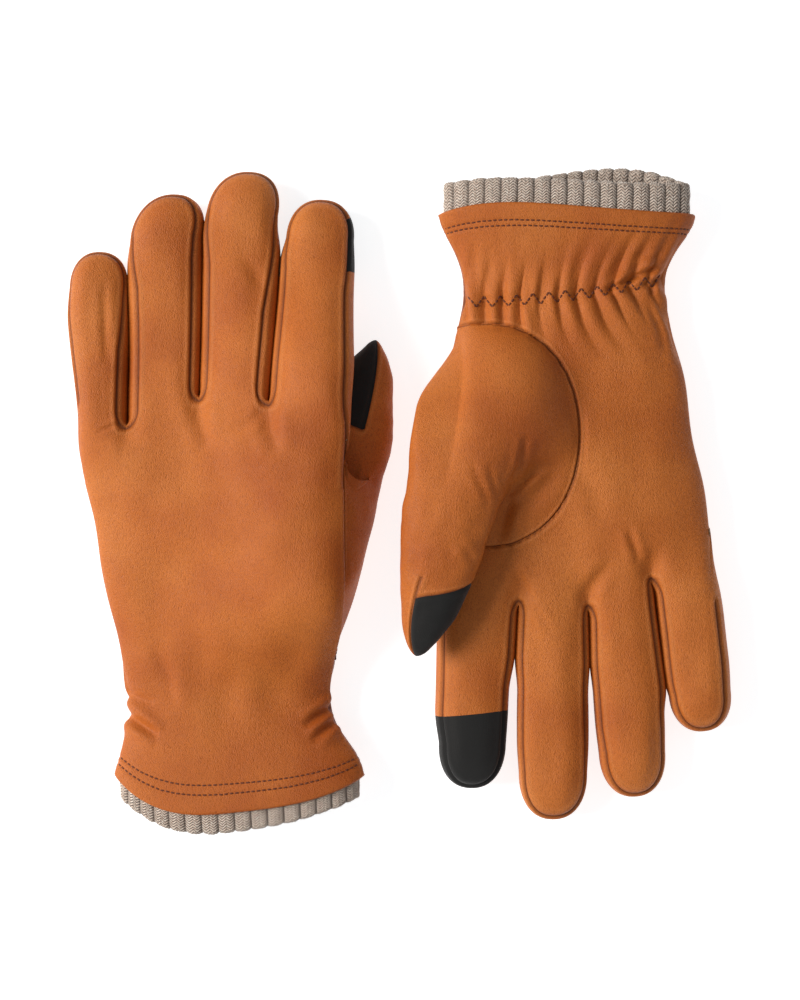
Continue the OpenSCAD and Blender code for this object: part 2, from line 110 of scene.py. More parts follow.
TAN_DARK, TAN_MID, TAN_LIGHT = (177, 87, 23), (199, 109, 38), (210, 122, 50)
CAM_X, CAM_Y = 0.0002, 0.0007
CAM_LENS, CAM_SENSOR, VIEW_HEIGHT, MID_HEIGHT = 100, 36, 0.4, 0.016
KEY, FILL, LOW, WORLD, FLOOR_GLOW = 89.0, 0.4, 1.0, 0.265, 0.78
FLOOR_HALF, FLOOR_Z = 4.0, -0.0004


def smooth(t):
    """A soft step from 0 to 1 as t goes from 0 to 1."""
    c = np.clip(t, 0, 1)
    return c * c * (3 - 2 * c)


def mix(a, b, t):
    return a + (b - a) * t


def hump(x, width):
    return np.exp(-((x / width) ** 2))


def unit(a):
    return a / np.linalg.norm(a, axis=-1, keepdims=True)


def arc(pts):
    """Lengths along a line of points, from 0 at its start."""
    return np.concatenate([[0], np.cumsum(np.linalg.norm(np.diff(pts, axis=0), axis=1))])


def monotone(v, pts):
    """A smooth curve through pts: linear lookup, averaged over a short span."""
    xs, ys = np.array([p[0] for p in pts], float), np.array([p[1] for p in pts], float)
    v = np.asarray(v, float)
    return sum(np.interp(v + o, xs, ys) for o in (-7, -3.5, 0, 3.5, 7)) / 5


def side_l(v):
    return -monotone(v, ((-36, HEM_W / 2), (-14, WRIST_W / 2 + 4), (0, WRIST_W / 2), (25, WRIST_W / 2 + 6),
                         (60, WRIST_W / 2 + 13.5), (107, PALM_W - INDEX_REACH)))


def side_r(v):
    return monotone(v, ((-36, HEM_W / 2), (-14, WRIST_W / 2 + 4), (0, WRIST_W / 2), (12, WRIST_W / 2 + 2),
                        (26, WRIST_W / 2 + 6), (46, INDEX_REACH - 2.5), (96, INDEX_REACH - 3),
                        (114, INDEX_REACH)))


def thick(v):
    return monotone(v, ((-36, MOUTH_T), (-12, WRIST_T + 1.5), (0, WRIST_T), (30, PALM_T - 1), (75, PALM_T),
                        (110, (PALM_T + FINGER_T) / 2 + 0.5), (150, FINGER_T)))


def rise(u, v):
    """How far the left hand is raised where it lies on the thumb."""
    return ROOM * smooth((u + 30) / 75) * smooth(v / 45) * (1 - smooth((v - 128) / 60))


def cuff_u(g, u, v):
    """Where the cuff's flare takes u."""
    share = smooth((-4 - v) / 22)
    return u * (1 + CUFF_WIDE[g] * share) + CUFF_SHIFT[g] * share


def place(g, u, v, d, lift=None):
    """A template point in the pair's frame, in millimetres."""
    low = CUFF_RISE * (1 - smooth(v / 30))
    u = cuff_u(g, u, v) + SWELL[g] * smooth((-20 - u) / 30) * smooth((v - 70) / 35)
    if g == 0:
        z = low + d + (rise(u, v) if lift is None else lift)
        return np.stack([WRIST_AT[0][0] + u, WRIST_AT[0][1] + v, z], -1)
    return np.stack([WRIST_AT[1][0] - u, WRIST_AT[1][1] - v, low + thick(v) - d], -1)


class Finger:
    """One finger's axis, widths and seams in the template."""

    def __init__(self, g, f):
        self.g, self.f, self.name = g, f, FINGERS[f]
        edges = [INDEX_REACH - PALM_W]
        for share in ROOT_SHARE[g]:
            edges.append(edges[-1] + PALM_W * share)
        self.root_half = PALM_W * ROOT_SHARE[g][f] / 2 - FINGER_GAP / 2
        self.root = np.array(((edges[f] + edges[f + 1]) / 2, (CROTCH_V[f] + CROTCH_V[f + 1]) / 2))
        self.tip = np.array((self.root[0] + TIP_LEAN[g][f], TIP_V[f] + TIP_MORE[g][f]))
        self.len = float(np.linalg.norm(self.tip - self.root))
        self.along = (self.tip - self.root) / self.len
        self.across = np.array((self.along[1], -self.along[0]))
        self.r = FINGER_W[f] / 2
        self.reach = TIP_REACH[g] * self.r
        self.straight = self.len - self.reach
        self.knuckle = KNUCKLE_V[f] - self.root[1]
        # Extra width along the finger on its two sides, set by close_gaps
        self.grid = np.linspace(-40, self.straight, 240)
        self.extra = [0 * self.grid, 0 * self.grid]

    def half(self, s, side=0, more=1.0):
        """Plan distance from the axis to the outline, on the side given by the sign of side."""
        a = mix(self.root_half, self.r, smooth(s / (0.75 * self.straight)))
        taper = TAPER[self.g][self.f]
        near_tip = smooth((s - (self.straight - 14)) / 22)
        low, high = (np.interp(s, self.grid, self.extra[k]) * more - taper[k] * near_tip for k in (0, 1))
        return a + np.where(np.asarray(side) < 0, low, high)

    def crotch(self, x):
        return mix(CROTCH_V[self.f], CROTCH_V[self.f + 1], (x + 1) / 2) - self.root[1] + CROTCH_SHIFT[self.g]

    def uv(self, s, off):
        sway = SWAY[self.g][self.f]
        off = off + mix(sway[0], sway[1], smooth(s / self.len)) * smooth((s + 8) / 16)
        off = off + TIP_SLANT[self.g][self.f] * np.clip((s - self.straight) / self.reach, 0, 1)
        return (self.root[0] + self.along[0] * s + self.across[0] * off,
                self.root[1] + self.along[1] * s + self.across[1] * off)

    def seam_half(self, layer, s, side):
        """Plan distance from the axis to the seam, on the side given by the sign of side."""
        seen = layer == self.g
        pairs = (INSET[self.g][self.f] if seen else (INSET_HIDDEN,) * 2,
                 INSET_TIP[self.g][self.f] if seen else (INSET_HIDDEN_TIP,) * 2, INSET_FADE[self.f])
        inset, tip, fade = (np.where(np.asarray(side) < 0, *pair) for pair in pairs)
        near_tip = np.clip((s - (self.straight - fade)) / fade, 0, 1)
        return self.half(s, side, 0.6) - mix(inset, tip, near_tip)

    def outer(self, x):
        """Whether side x of the finger is the outside of the hand."""
        x = np.asarray(x)
        return ((self.f == 0) & (x < 0)) | ((self.f == 3) & (x > 0))

    def wall_share(self, layer):
        """Seam share of the half width at the root, on both sides. Neighbours agree on it."""
        insets = INSET[self.g] if layer == self.g else ((INSET_HIDDEN,) * 2,) * 4
        low = (insets[self.f][0] + insets[max(self.f - 1, 0)][1]) / 2
        high = (insets[self.f][1] + insets[min(self.f + 1, 3)][0]) / 2
        return 1 - low / 13, 1 - high / 13

    def seam_reach(self, layer):
        """How far the seam reaches beyond the straight part."""
        return self.reach - (INSET_AHEAD[self.g] if layer == self.g else INSET_HIDDEN_TIP)

    def ahead(self, layer, step):
        """The same at a tip angle, which is 90 degrees at the very tip."""
        return self.seam_reach(layer) * np.abs(np.sin(step)) ** (2 / TIP_P)

    @staticmethod
    def aside(step):
        return np.abs(np.cos(step)) ** (2 / TIP_P)

    def rho(self, s, off, fwd):
        """Share of the way from the axis to the outline, in plan."""
        power = (np.abs(off) / self.half(s, off)) ** TIP_P + (np.abs(fwd) / self.reach) ** TIP_P
        return power ** (1 / TIP_P)


def close_gaps(fins):
    """Neighbouring fingers are pressed together: each one fills half of the slit between them."""
    g, (little, index) = fins[0].g, (fins[0], fins[3])
    little.extra[0] += LITTLE_MORE[g] * smooth(little.grid / 25)
    index.extra[1] += INDEX_MORE[g] * smooth(index.grid / 20)
    for a, b, touch in zip(fins[:-1], fins[1:], TOUCH_V[g]):
        ua, va = a.uv(a.grid, a.half(a.grid, 1))
        ub, vb = b.uv(b.grid, -b.half(b.grid, -1))
        gap_a, gap_b = np.interp(va, vb, ub) - ua, ub - np.interp(vb, va, ua)
        for fin, k, gap, v in ((a, 1, gap_a, va), (b, 0, gap_b, vb)):
            share = (1 - smooth((gap - 5) / 4)) * (1 - smooth((v - touch + 3) / 16))
            fin.extra[k] = np.clip(gap / 2 + 0.12, -2, 3.2) * share


def dome(rho, b, power=ROUND):
    return b * np.maximum(0, 1 - np.minimum(rho, 1) ** power) ** (1 / power)


# ---------------------------------------------------------------- meshes


def join_grids(grids):
    """One set of arrays from several grids of (points, seam distances, quads, owners, suppleness)."""
    parts, start = [], 0
    for pts, seam, quads, own, supple in grids:
        v = pts.reshape(-1, 3)
        parts.append((v, seam.reshape(-1), quads + start, own, np.full(len(v), supple)))
        start += len(v)
    return [np.concatenate(x) for x in zip(*parts)]


def grid_quads(rows, cols, wrap=False, flip=False):
    i, j = np.meshgrid(np.arange(rows - 1), np.arange(cols if wrap else cols - 1), indexing="ij")
    a, b = i * cols + j, i * cols + (j + 1) % cols
    q = np.stack([a, b, b + cols, a + cols], -1).reshape(-1, 4)
    return q[:, ::-1] if flip else q


def weld(v):
    """One group number per vertex, the same for vertices that share a place."""
    key = np.round(v * 2000).astype(np.int64)
    return np.unique(key, axis=0, return_inverse=True)[1].reshape(-1)


def vertex_normals(v, f):
    """Normals of quads f, shared by vertices that share a place."""
    group = weld(v)
    a, b, c, d = (v[f[:, k]] for k in range(4))
    n = np.cross(c - a, d - b)
    acc = np.zeros((group.max() + 1, 3))
    for k in range(4):
        np.add.at(acc, group[f[:, k]], n)
    acc /= np.maximum(1e-12, np.linalg.norm(acc, axis=1, keepdims=True))
    return acc[group]


def seeded_waves(p, scale, seed, count=28):
    """Soft random relief between about -1 and 1 at points p, as a sum of plane waves."""
    rng = np.random.default_rng(seed)
    k = rng.normal(size=(count, 3))
    k *= (2 * math.pi / scale) * rng.uniform(0.6, 1.5, (count, 1)) / np.linalg.norm(k, axis=1, keepdims=True)
    phase = rng.uniform(0, 2 * math.pi, count)
    out = np.zeros(p.shape[:-1])
    for w, ph in zip(k, phase):
        out += np.cos(p @ w + ph)
    return out / math.sqrt(count / 2) / 1.6


def link(name, data):
    obj = bpy.data.objects.new(name, data)
    bpy.context.scene.collection.objects.link(obj)
    return obj


def smooth_object(name, v, faces):
    """A smooth-shaded object from millimetre points, with their places at rest kept for the materials."""
    mesh = bpy.data.meshes.new(name)
    mesh.from_pydata((v * MM).tolist(), [], faces)
    mesh.update()
    mesh.polygons.foreach_set("use_smooth", [True] * len(mesh.polygons))
    rest = mesh.attributes.new("rest", "FLOAT_VECTOR", "POINT")
    rest.data.foreach_set("vector", v.astype(np.float32).ravel())
    return link(name, mesh)


def flat_waves(u, v, scale, seed):
    """The same on a flat sheet."""
    return seeded_waves(np.stack([u, v, 0 * u], -1), scale, seed)


def make_mesh(name, v, quads, normals, attrs=None):
    """An object from some quads of a larger mesh. Vertices that share a place are joined."""
    used, inv = np.unique(quads, return_inverse=True)
    group = weld(v[used])
    first = np.zeros(group.max() + 1, int)
    first[group[::-1]] = np.arange(len(group))[::-1]
    faces = []
    for q in first[group][inv.reshape(quads.shape)].tolist():
        t = [q[i] for i in range(4) if q[i] != q[i - 1]]
        if len(t) >= 3 and len(set(t)) == len(t):
            faces.append(t)
    keep = np.unique(np.concatenate([np.array(t) for t in faces]))
    back = {int(k): i for i, k in enumerate(keep)}
    keep = used[keep]
    obj = smooth_object(name, v[keep], [[back[i] for i in t] for t in faces])
    for key, values in (attrs or {}).items():
        layer = obj.data.attributes.new(key, "FLOAT", "POINT")
        layer.data.foreach_set("value", values[keep].astype(np.float32))
    obj.data.normals_split_custom_set_from_vertices(normals[keep].tolist())
    return obj


# ---------------------------------------------------------------- the leather hand and fingers

COLS = 41
WARP = np.linspace(-1, 1, COLS)
XS = 1.35 * WARP - 0.35 * WARP ** 3
HAND_TOP = 84
CUFF_ROWS = np.concatenate([np.linspace(-CUFF_LEN, -14, 34), np.linspace(-14, 8, 40)[1:]])
HAND_ROWS = np.concatenate([CUFF_ROWS, np.linspace(8, HAND_TOP, 84)[1:]])
WEB_ROWS, FINGER_ROWS, PAD_ROWS, TIP_ROWS = 26, 46, 24, 18
PAD_ROW = WEB_ROWS + FINGER_ROWS - 2  # where the index finger's pad begins
STRIP_COLS = 13
OPENING = 16


def hand_share(fin, x):
    """Where side x of a finger lies across the hand, from -1 to 1."""
    u = fin.root[0] + x * (fin.root_half + FINGER_GAP / 2)
    return (u - (INDEX_REACH - PALM_W)) / PALM_W * 2 - 1


def hand_d(g, layer, x, v):
    """d of the hand's outside at share x of its half width."""
    t = thick(v)
    power = UP_POWER if layer == g else DOWN_POWER
    h = t / 2 * np.maximum(0, 1 - np.abs(np.clip(x, -1, 1)) ** power) ** (1 / 2.1)
    return t / 2 + (h if layer == 0 else -h)


def hem_target(g, layer, x):
    """v of the hem at share x of its half width."""
    mid, corner = HEM[g][layer], HEM[g][2]
    return mid + (corner - mid) * np.abs(x) ** 3 + HEM_TILT[g] * x * (1 - x * x)


def hem_v(g, layer, x, v):
    return np.where(v < 0, v * mix(1, hem_target(g, layer, x) / -CUFF_LEN, smooth(-v / 30)), v)


def finger_rows(fin, x):
    """Stations of each column x of a finger, root side first: s and tip angle, shape (rows, columns)."""
    sc = fin.crotch(x)
    pad = fin.len - INDEX_PAD_LEN + (1.6 * x if fin.f == 3 else 0 * x)
    lines = (HAND_TOP - fin.root[1] + 0 * x, sc, pad, fin.straight + 0 * x)
    parts = [mix(a, b, np.linspace(0, 1, rows)[1:, None])
             for a, b, rows in zip(lines, lines[1:], (WEB_ROWS, FINGER_ROWS, PAD_ROWS))]
    s = np.concatenate(parts + [np.repeat(lines[-1][None], TIP_ROWS, 0)])
    step = np.zeros_like(s)
    step[-TIP_ROWS:] = np.linspace(0, math.pi / 2, TIP_ROWS + 1)[1:, None]
    return s, step


def blend_weight(fin, x, s):
    """How far a point of column x has gone over from the hand's section to the finger's."""
    near = np.where(fin.outer(x), 0.0, np.abs(x) ** 3)
    sc = fin.crotch(x)
    t = (s - (sc - OPENING * (1 - near))) / mix(30.0, 7.0, near)
    quick = 1 - (1 - np.clip(t, 0, 1)) ** 2.6
    return mix(smooth(t), quick, near)


def panel(g, layer, fin):
    """One finger's part of a panel, with its share of the hand.

    Returns its points, their plan distances to a seam, and the edges that the side walls are built between.
    """
    x = XS[None, :]
    share = hand_share(fin, x)
    # The hand, up to HAND_TOP
    v = HAND_ROWS[:, None] + 0 * share
    ul, ur = side_l(v), side_r(v)
    u = mix(ul, ur, (share + 1) / 2)
    hand = place(g, u, hem_v(g, layer, share, v), hand_d(g, layer, share, v))
    hand_seam = (ur - u) * 1.6 if fin.f == 3 else 0 * u + FAR
    # The finger's own section
    s, step = finger_rows(fin, XS)
    xs = np.broadcast_to(x, s.shape)
    fh = fin.seam_half(layer, s, xs)
    ahead = fin.ahead(layer, step)
    off = xs * fh * fin.aside(step)
    fu, fv = fin.uv(s + ahead, off)
    t = thick(fv)
    h = dome(fin.rho(s, off, ahead), t / 2 - 0.4 * np.sin(step) ** 2)
    fd = t / 2 + (h if layer == 0 else -h)
    # The hand's section above HAND_TOP, with a valley that leads into each crotch
    hv = s + fin.root[1]
    hl, hr = side_l(hv), side_r(hv)
    hu = mix(hl, hr, (share + 1) / 2)
    hd = hand_d(g, layer, np.broadcast_to(share, s.shape), hv)
    outer = fin.outer(xs)
    dist = (1 - np.abs(xs)) * (fin.root_half + FINGER_GAP / 2)
    th = thick(hv)
    z_seam = th / 2 + (1 if layer == 0 else -1) * dome(np.where(xs < 0, *fin.wall_share(layer)), th / 2)
    sc = fin.crotch(xs)
    valley = smooth((s - (sc - 15)) / 15) * hump(dist, 3.0 + 2.2 * smooth((sc - s) / 12))
    hd = np.where(outer, hd, mix(hd, z_seam, valley))
    # One goes over into the other
    w = blend_weight(fin, xs, s)
    fing = place(g, mix(hu, fu, w), mix(hv, fv, w), mix(hd, fd, w))
    across = (np.abs(off) / fh) ** TIP_P + (ahead / fin.seam_reach(layer)) ** TIP_P
    to_seam = np.maximum(0, (1 - across ** (1 / TIP_P)) * fh)
    d_crotch = np.hypot(dist, np.maximum(0, sc - s))
    below = np.where(outer, np.where(fin.f == 3, (hr - hu) * 1.6, FAR), d_crotch)
    seam = mix(below, to_seam, smooth((s - sc + 2) / 4))
    if fin.f == 3:
        seam = np.where(outer & (s < sc), (1 - np.abs(xs)) * 14, seam)
    else:
        seam = np.where(outer, to_seam + 9 * (1 - smooth((s - sc) / 18)), seam)
    sides = {k: a[:, [0, -1]] for k, a in (("w", w), ("hu", hu), ("hv", hv), ("hd", hd))}
    return np.concatenate([hand, fing]), np.concatenate([hand_seam, seam]), dict(sides, s=s, step=step)


def strip(g, fin, back, palm, side):
    """The side wall between a finger's back and palm panels on one side, rows root to tip."""
    k = 0 if side < 0 else -1
    s, step = back["s"][:, k], back["step"][:, k]
    w = back["w"][:, k][:, None]
    tau = np.linspace(0, 1, STRIP_COLS)[None, :]
    halves = [(fin.seam_half(layer, s, side) * fin.aside(step), fin.ahead(layer, step)) for layer in (0, 1)]
    ang = []
    for off, fwd in halves:
        rho = fin.rho(s, side * off, fwd)
        z = (1 - np.minimum(rho, 1) ** ROUND) ** (1 / ROUND)
        ang.append(np.arctan2(z ** (ROUND / 2), rho ** (ROUND / 2)))
    theta = mix(ang[0][:, None], -ang[1][:, None], tau)
    rho, zz = spow(np.cos(theta), 2 / ROUND), spow(np.sin(theta), 2 / ROUND)
    off, fwd = (mix(halves[0][i][:, None], halves[1][i][:, None], tau) for i in (0, 1))
    scale = np.abs(rho) / np.maximum(1e-6, fin.rho(s[:, None], side * off + side * 1e-9, fwd))
    fu, fv = fin.uv(s[:, None] + fwd * scale, side * off * scale)
    th = thick(fv)
    fd = th / 2 + (th / 2 - 0.4 * np.sin(step)[:, None] ** 2) * zz
    hu, hv, hd = (mix(back[i][:, k][:, None], palm[i][:, k][:, None], tau) for i in ("hu", "hv", "hd"))
    outer = fin.outer(side)
    if not outer:
        hv = hv + CROTCH_LIP * np.sin(math.pi * tau) ** 0.6
    pts = place(g, mix(hu, fu, w), mix(hv, fv, w), mix(hd, fd, w))
    dist = np.minimum(tau, 1 - tau) * np.linalg.norm(np.diff(pts, axis=1), axis=2).sum(1)[:, None]
    if outer and fin.f == 0:
        dist = dist + 9 * (1 - smooth((s - fin.crotch(side)) / 18))[:, None]
    return pts, dist


def spow(x, p):
    """A power that keeps the sign."""
    return np.sign(x) * np.abs(x) ** p


# Creases and folds by (g, layer): points in u and v, depth, width. A negative depth is a ridge.
CREASES = {
    (0, 0): (
        (((-50, 168), (-49.5, 150), (-48.5, 134)), 0.5, 1.6),
        (((-53, 107), (-48, 109), (-43, 111)), 0.55, 0.7),
        (((-12, 118), (-11, 110), (-8, 101)), 0.8, 2.6),
        (((16, 117), (17, 108), (20, 98)), 0.9, 2.8),
        (((16, 117), (8, 110), (0, 107)), 0.4, 1.6),
        (((-46, -3), (-38, -8), (-28, -14)), 1.7, 1.9),
        (((-44, 5), (-37, 1), (-30, -1)), 0.6, 1.8),
        (((48, 1), (41, -3), (30, -10)), 1.6, 1.7),
        (((45, -5), (41, -9), (33, -16)), 1.3, 1.7),
        (((-30, 22), (-24, 10), (-22, -4)), 0.35, 2.4),
        (((4, 178), (10, 172), (14, 163)), 0.35, 2.2),
    ),
    (1, 1): (
        (((-40, -8), (-33, -5.5), (-26, -2), (-16, 2.5)), 1.1, 1.1),
        (((-39.5, -5.5), (-36, -1), (-34.5, 4)), 0.9, 0.9),
        (((-38, -9), (-31, -9.5), (-24, -6)), -0.6, 1.6),
        (((-30, 111), (-28, 105), (-25, 97)), 0.7, 1.5),
        (((22, 110), (18, 117), (12, 126)), 0.55, 1.5),
        (((12, 129), (9, 133), (5, 137)), 0.4, 1.1),
        (((-8, 124), (-14, 116), (-19, 111)), 0.5, 2.0),
        (((-38, 4), (-44, 18), (-47, 32)), 0.9, 1.8),
        (((-33, 4), (-38, 16), (-41, 27)), 0.6, 1.5),
        (((-4, 70), (-12, 84), (-14, 98)), 0.5, 4.0),
    ),
    (1, 2): (
        (((23.5, 84), (18.5, 74), (16, 61)), 1.1, 1.3),
        (((21, 86), (13.5, 79), (6, 73)), -1.5, 2.2),
        (((21.5, 85), (24.5, 94), (27, 104)), 2.0, 2.2),
        (((38, 71), (34, 80), (30.5, 87)), 0.6, 1.1),
        (((31, 72), (29, 80), (27, 86)), 0.4, 0.9),
        (((44, 100), (38, 108), (34, 116)), 0.3, 1.4),
    ),
}


def crease_field(g, layer, u, v):
    """How far the creases of one layer move the leather at u, v."""
    out = np.zeros_like(u)
    for pts, depth, width in CREASES.get((g, layer), ()):
        pts = np.array(pts, float)
        best = np.full(u.shape, 1e9)
        along = np.zeros_like(u)
        lens = arc(pts)
        for i in range(len(pts) - 1):
            a, b = pts[i], pts[i + 1]
            ab = b - a
            t = np.clip(((u - a[0]) * ab[0] + (v - a[1]) * ab[1]) / (ab @ ab), 0, 1)
            dd = np.hypot(u - a[0] - t * ab[0], v - a[1] - t * ab[1])
            closer = dd < best
            best = np.where(closer, dd, best)
            along = np.where(closer, (lens[i] + t * (lens[i + 1] - lens[i])) / lens[-1], along)
        taper = np.sin(np.clip(along, 0, 1) * math.pi) ** 0.6
        out += taper * depth * (-hump(best, width) + 0.55 * hump(best - 2.1 * width, 1.2 * width))
    return out


def template_uv(g, p):
    if g == 0:
        return p[..., 0] - WRIST_AT[0][0], p[..., 1] - WRIST_AT[0][1]
    return WRIST_AT[1][0] - p[..., 0], WRIST_AT[1][1] - p[..., 1]


def seam_profile(dist):
    """A sewn seam: both edges roll in to a narrow groove."""
    return -0.70 * hump(dist, 0.5) + 0.24 * hump(dist - 1.5, 0.9)


def opening_share(u, v, less=0):
    """Distance from the middle of the thumb's opening, as a share of the way to its edge."""
    x, y = (np.abs(a - c) / (r - less) for a, c, r in zip((u, v), BITE_C, BITE_R))
    return (x ** BITE_POWER + y ** BITE_POWER) ** (1 / BITE_POWER)


def bite_reach(u, v):
    """Signed plan distance outside the thumb's opening in the palm panel."""
    return (opening_share(u, v) - 1) * 41


OWNERS = ["back_panel", "palm_panel", "crotch_walls", "thumb_base", "thumb_leather", "thumb_touch_pad",
          "index_touch_pad"] + [f"{f}_{p}" for f in FINGERS for p in ("back", "palm", "fourchette")]
OWN = {name: i for i, name in enumerate(OWNERS)}


def hem_roll(g, edge):
    """Rows that turn the hem under: round its edge, toward the middle of the section, and back up inside."""
    middle = place(g, (side_l(-CUFF_LEN) + side_r(-CUFF_LEN)) / 2, -CUFF_LEN, thick(-CUFF_LEN) / 2, 0)
    inward = unit((middle - edge) / ((HEM_W / 2) ** 2, 1, (MOUTH_T / 2) ** 2) * (1, 0, 1))
    down = np.array((0, -1.0 if g == 0 else 1.0, 0))
    turn = np.linspace(0, math.pi, 9)[1:, None, None]
    round_edge = edge + inward * (HEM_ROLL * (1 - np.cos(turn))) + down * (HEM_ROLL * np.sin(turn))
    up_inside = np.array((1.5, 3, 4.5))[:, None, None]
    inside = round_edge[-1] - down * up_inside + inward * (1, 0, 0) * 0.5 * up_inside
    return np.concatenate([round_edge, inside])[::-1]


def build_leather(g):
    """All leather and pads of the hand and fingers, as grids, the panels' eight grids first.

    Returns them with the fingers and the number of rows that are turned under.
    """
    grids, rails = [], {}
    fins = [Finger(g, f) for f in range(4)]
    close_gaps(fins)
    for layer, word in enumerate(("back", "palm")):
        for fin in fins:
            pts, dist, rails[layer, fin.f] = panel(g, layer, fin)
            roll = hem_roll(g, pts[0])
            pts = np.concatenate([roll, pts])
            dist = np.concatenate([np.full(roll.shape[:2], FAR), dist])
            rows, cols = pts.shape[:2]
            # Rows of the finger itself are counted from its first row above the hand
            row = np.repeat(np.arange(rows - 1), cols - 1) - len(roll) - len(HAND_ROWS)
            on_hand = row < fin_start(fin, rails[layer, fin.f])
            own = np.where(on_hand, OWN[f"{word}_panel"], OWN[f"{fin.name}_{word}"])
            if layer == 1 and fin.f == 3:
                own[row >= PAD_ROW] = OWN["index_touch_pad"]
            grids.append((pts, dist, grid_quads(rows, cols, flip=layer != g), own, 1.0))
    for fin in fins:
        back, palm = rails[0, fin.f], rails[1, fin.f]
        for side in (-1, 1):
            pts, dist = strip(g, fin, back, palm, side)
            # An outer strip starts where it has some width, an inner one at the crotch
            wide = np.linalg.norm(pts[:, -1] - pts[:, 0], axis=1)
            start = int(np.argmax(wide > 0.04)) if fin.outer(side) else WEB_ROWS - 2
            pts, dist = pts[start:], dist[start:]
            rows, cols = pts.shape[:2]
            row = np.repeat(np.arange(rows - 1), cols - 1) + start
            col = np.tile(np.arange(cols - 1), rows - 1)
            own = np.where(row < fin_start(fin, back), OWN["crotch_walls"], OWN[f"{fin.name}_fourchette"])
            if fin.f == 3:
                shown = (side > 0) & (row < len(back["s"]) - TIP_ROWS + 5)
                own[(row >= PAD_ROW) & (shown | (col >= 3))] = OWN["index_touch_pad"]
            grids.append((pts, dist, grid_quads(rows, cols, flip=(side < 0) != (g == 1)), own, 0.12))
    return grids, fins, len(roll)


def fin_start(fin, rail):
    """The row where a finger's own pieces begin, below its knuckle."""
    return int(np.searchsorted(rail["s"][:, COLS // 2], fin.knuckle - BLEND_REACH - 3))


def relief(g, v, n, dist, supple):
    """Soft dents, folds, wrist gathers and sewn seams, as a move along each normal."""
    u, w = template_uv(g, v)
    back = (n[:, 2] > 0) == (g == 0)
    palm = ~back
    move = seam_profile(dist)
    soft = 0.55 * seeded_waves(v, 46, 11 + g) + 0.22 * seeded_waves(v * (1.0, 0.55, 1.0), 17, 23 + g)
    move += soft * smooth((w + 8) / 30) * np.clip(dist / 6, 0.15, 1) * supple
    # Gathers over the elastic: folds run along the hand and fan out
    line = w - wrist_line(u)
    near = np.where(line > 0, hump(line, 15), hump(line, 11))
    u = u + 0.55 * smooth((28 - u) / 60) * np.abs(line)
    t = (u - side_l(0 * u) - SEAM_MARGIN) / (side_r(0 * u) - side_l(0 * u) - 2 * SEAM_MARGIN)
    wobble = 0.10 * flat_waves(u * 0.5, w, 26, 5 + g)
    phase = 2 * math.pi * ZIGZAGS * (0.5 + (t - 0.5) * (1 - 0.1 * hump(line, 30))) + 5 * wobble
    fade = smooth((t + 0.10) / 0.12) * smooth((1.10 - t) / 0.12)
    gather = 2.1 * (np.abs(np.cos(phase / 2)) ** 0.8 - 0.6) * near * fade
    gather += 0.7 * flat_waves(u * 2.2, w * 0.45, 15, 31 + g) * hump(line, 16)
    # The sewn line itself pulls in
    gather -= 0.9 * hump(line, 2.6) * fade
    u, w = template_uv(g, v)
    back_fold = 0.5 * flat_waves(u * 1.3, w * 0.5, 22, 41 + g) * hump(line, 14)
    move += np.where(palm, gather, back_fold)
    # Both rows of hem stitches press the leather down
    for from_hem in HEM_ROWS[g]:
        move -= 0.22 * hump(w - hem_line(g, back, u, from_hem), 0.75)
    for layer, side in ((0, back), (1, palm)):
        move[side] += crease_field(g, layer, u[side], w[side])
    # Inside the thumb's opening the palm panel drops away under the thumb's edge
    return move - np.where(palm, 1.8 * smooth(-bite_reach(u, w) / 1.3), 0)


def wrist_line(u):
    """The line of the zigzag stitching across the palm side of the wrist."""
    return 4.4 + 0.115 * u - 0.0016 * u * u


def hem_line(g, back, u, from_hem):
    """v of a line from_hem above the hem at u, on the back or else the palm."""
    v = -CUFF_LEN + from_hem
    mid, half = (side_l(v) + side_r(v)) / 2, (side_r(v) - side_l(v)) / 2
    x = np.clip(((u - CUFF_SHIFT[g]) / (1 + CUFF_WIDE[g]) - mid) / half, -1, 1)
    return np.where(back, hem_v(g, 0, x, v + 0 * x), hem_v(g, 1, x, v + 0 * x))


def floor_clear(z):
    """Keeps points above the surface that the pair lies on, flattening softly where they rest."""
    return np.logaddexp(0, (z - 0.05) / 0.25) * 0.25 + 0.05


class Shell:
    """Displaced leather, with the owner of each quad and the seam distance and normal of each vertex."""

    def __init__(self, g, v, normals, move, quads, own, seam):
        self.g, self.f, self.own, self.seam = g, quads, own, seam
        moved = v + normals * move[:, None]
        moved[:, 2] = floor_clear(moved[:, 2])
        # Vertices that shared a place stay together
        group = weld(v)
        self.v = np.stack([np.bincount(group, moved[:, k]) / np.bincount(group) for k in range(3)], -1)[group]
        self.n = vertex_normals(self.v, quads)

    def piece(self, owner, drop=None):
        """The object for one owner's faces."""
        faces = self.f[self.own == OWN[owner]]
        if drop is not None:
            faces = faces[~drop(self.v[faces].mean(1))]
        return make_mesh(f"{SIDES[self.g]}_{owner}", self.v, faces, self.n, {"seam": self.seam})

    def inner(self, name, owners, depth, keep=None):
        """The object of a lining that lies inside the faces of some owners."""
        faces = self.f[np.isin(self.own, [OWN[o] for o in owners])][:, ::-1]
        if keep is not None:
            faces = faces[keep(self.v[faces].mean(1))]
        return make_mesh(f"{SIDES[self.g]}_{name}", self.v - self.n * depth, faces, -self.n)


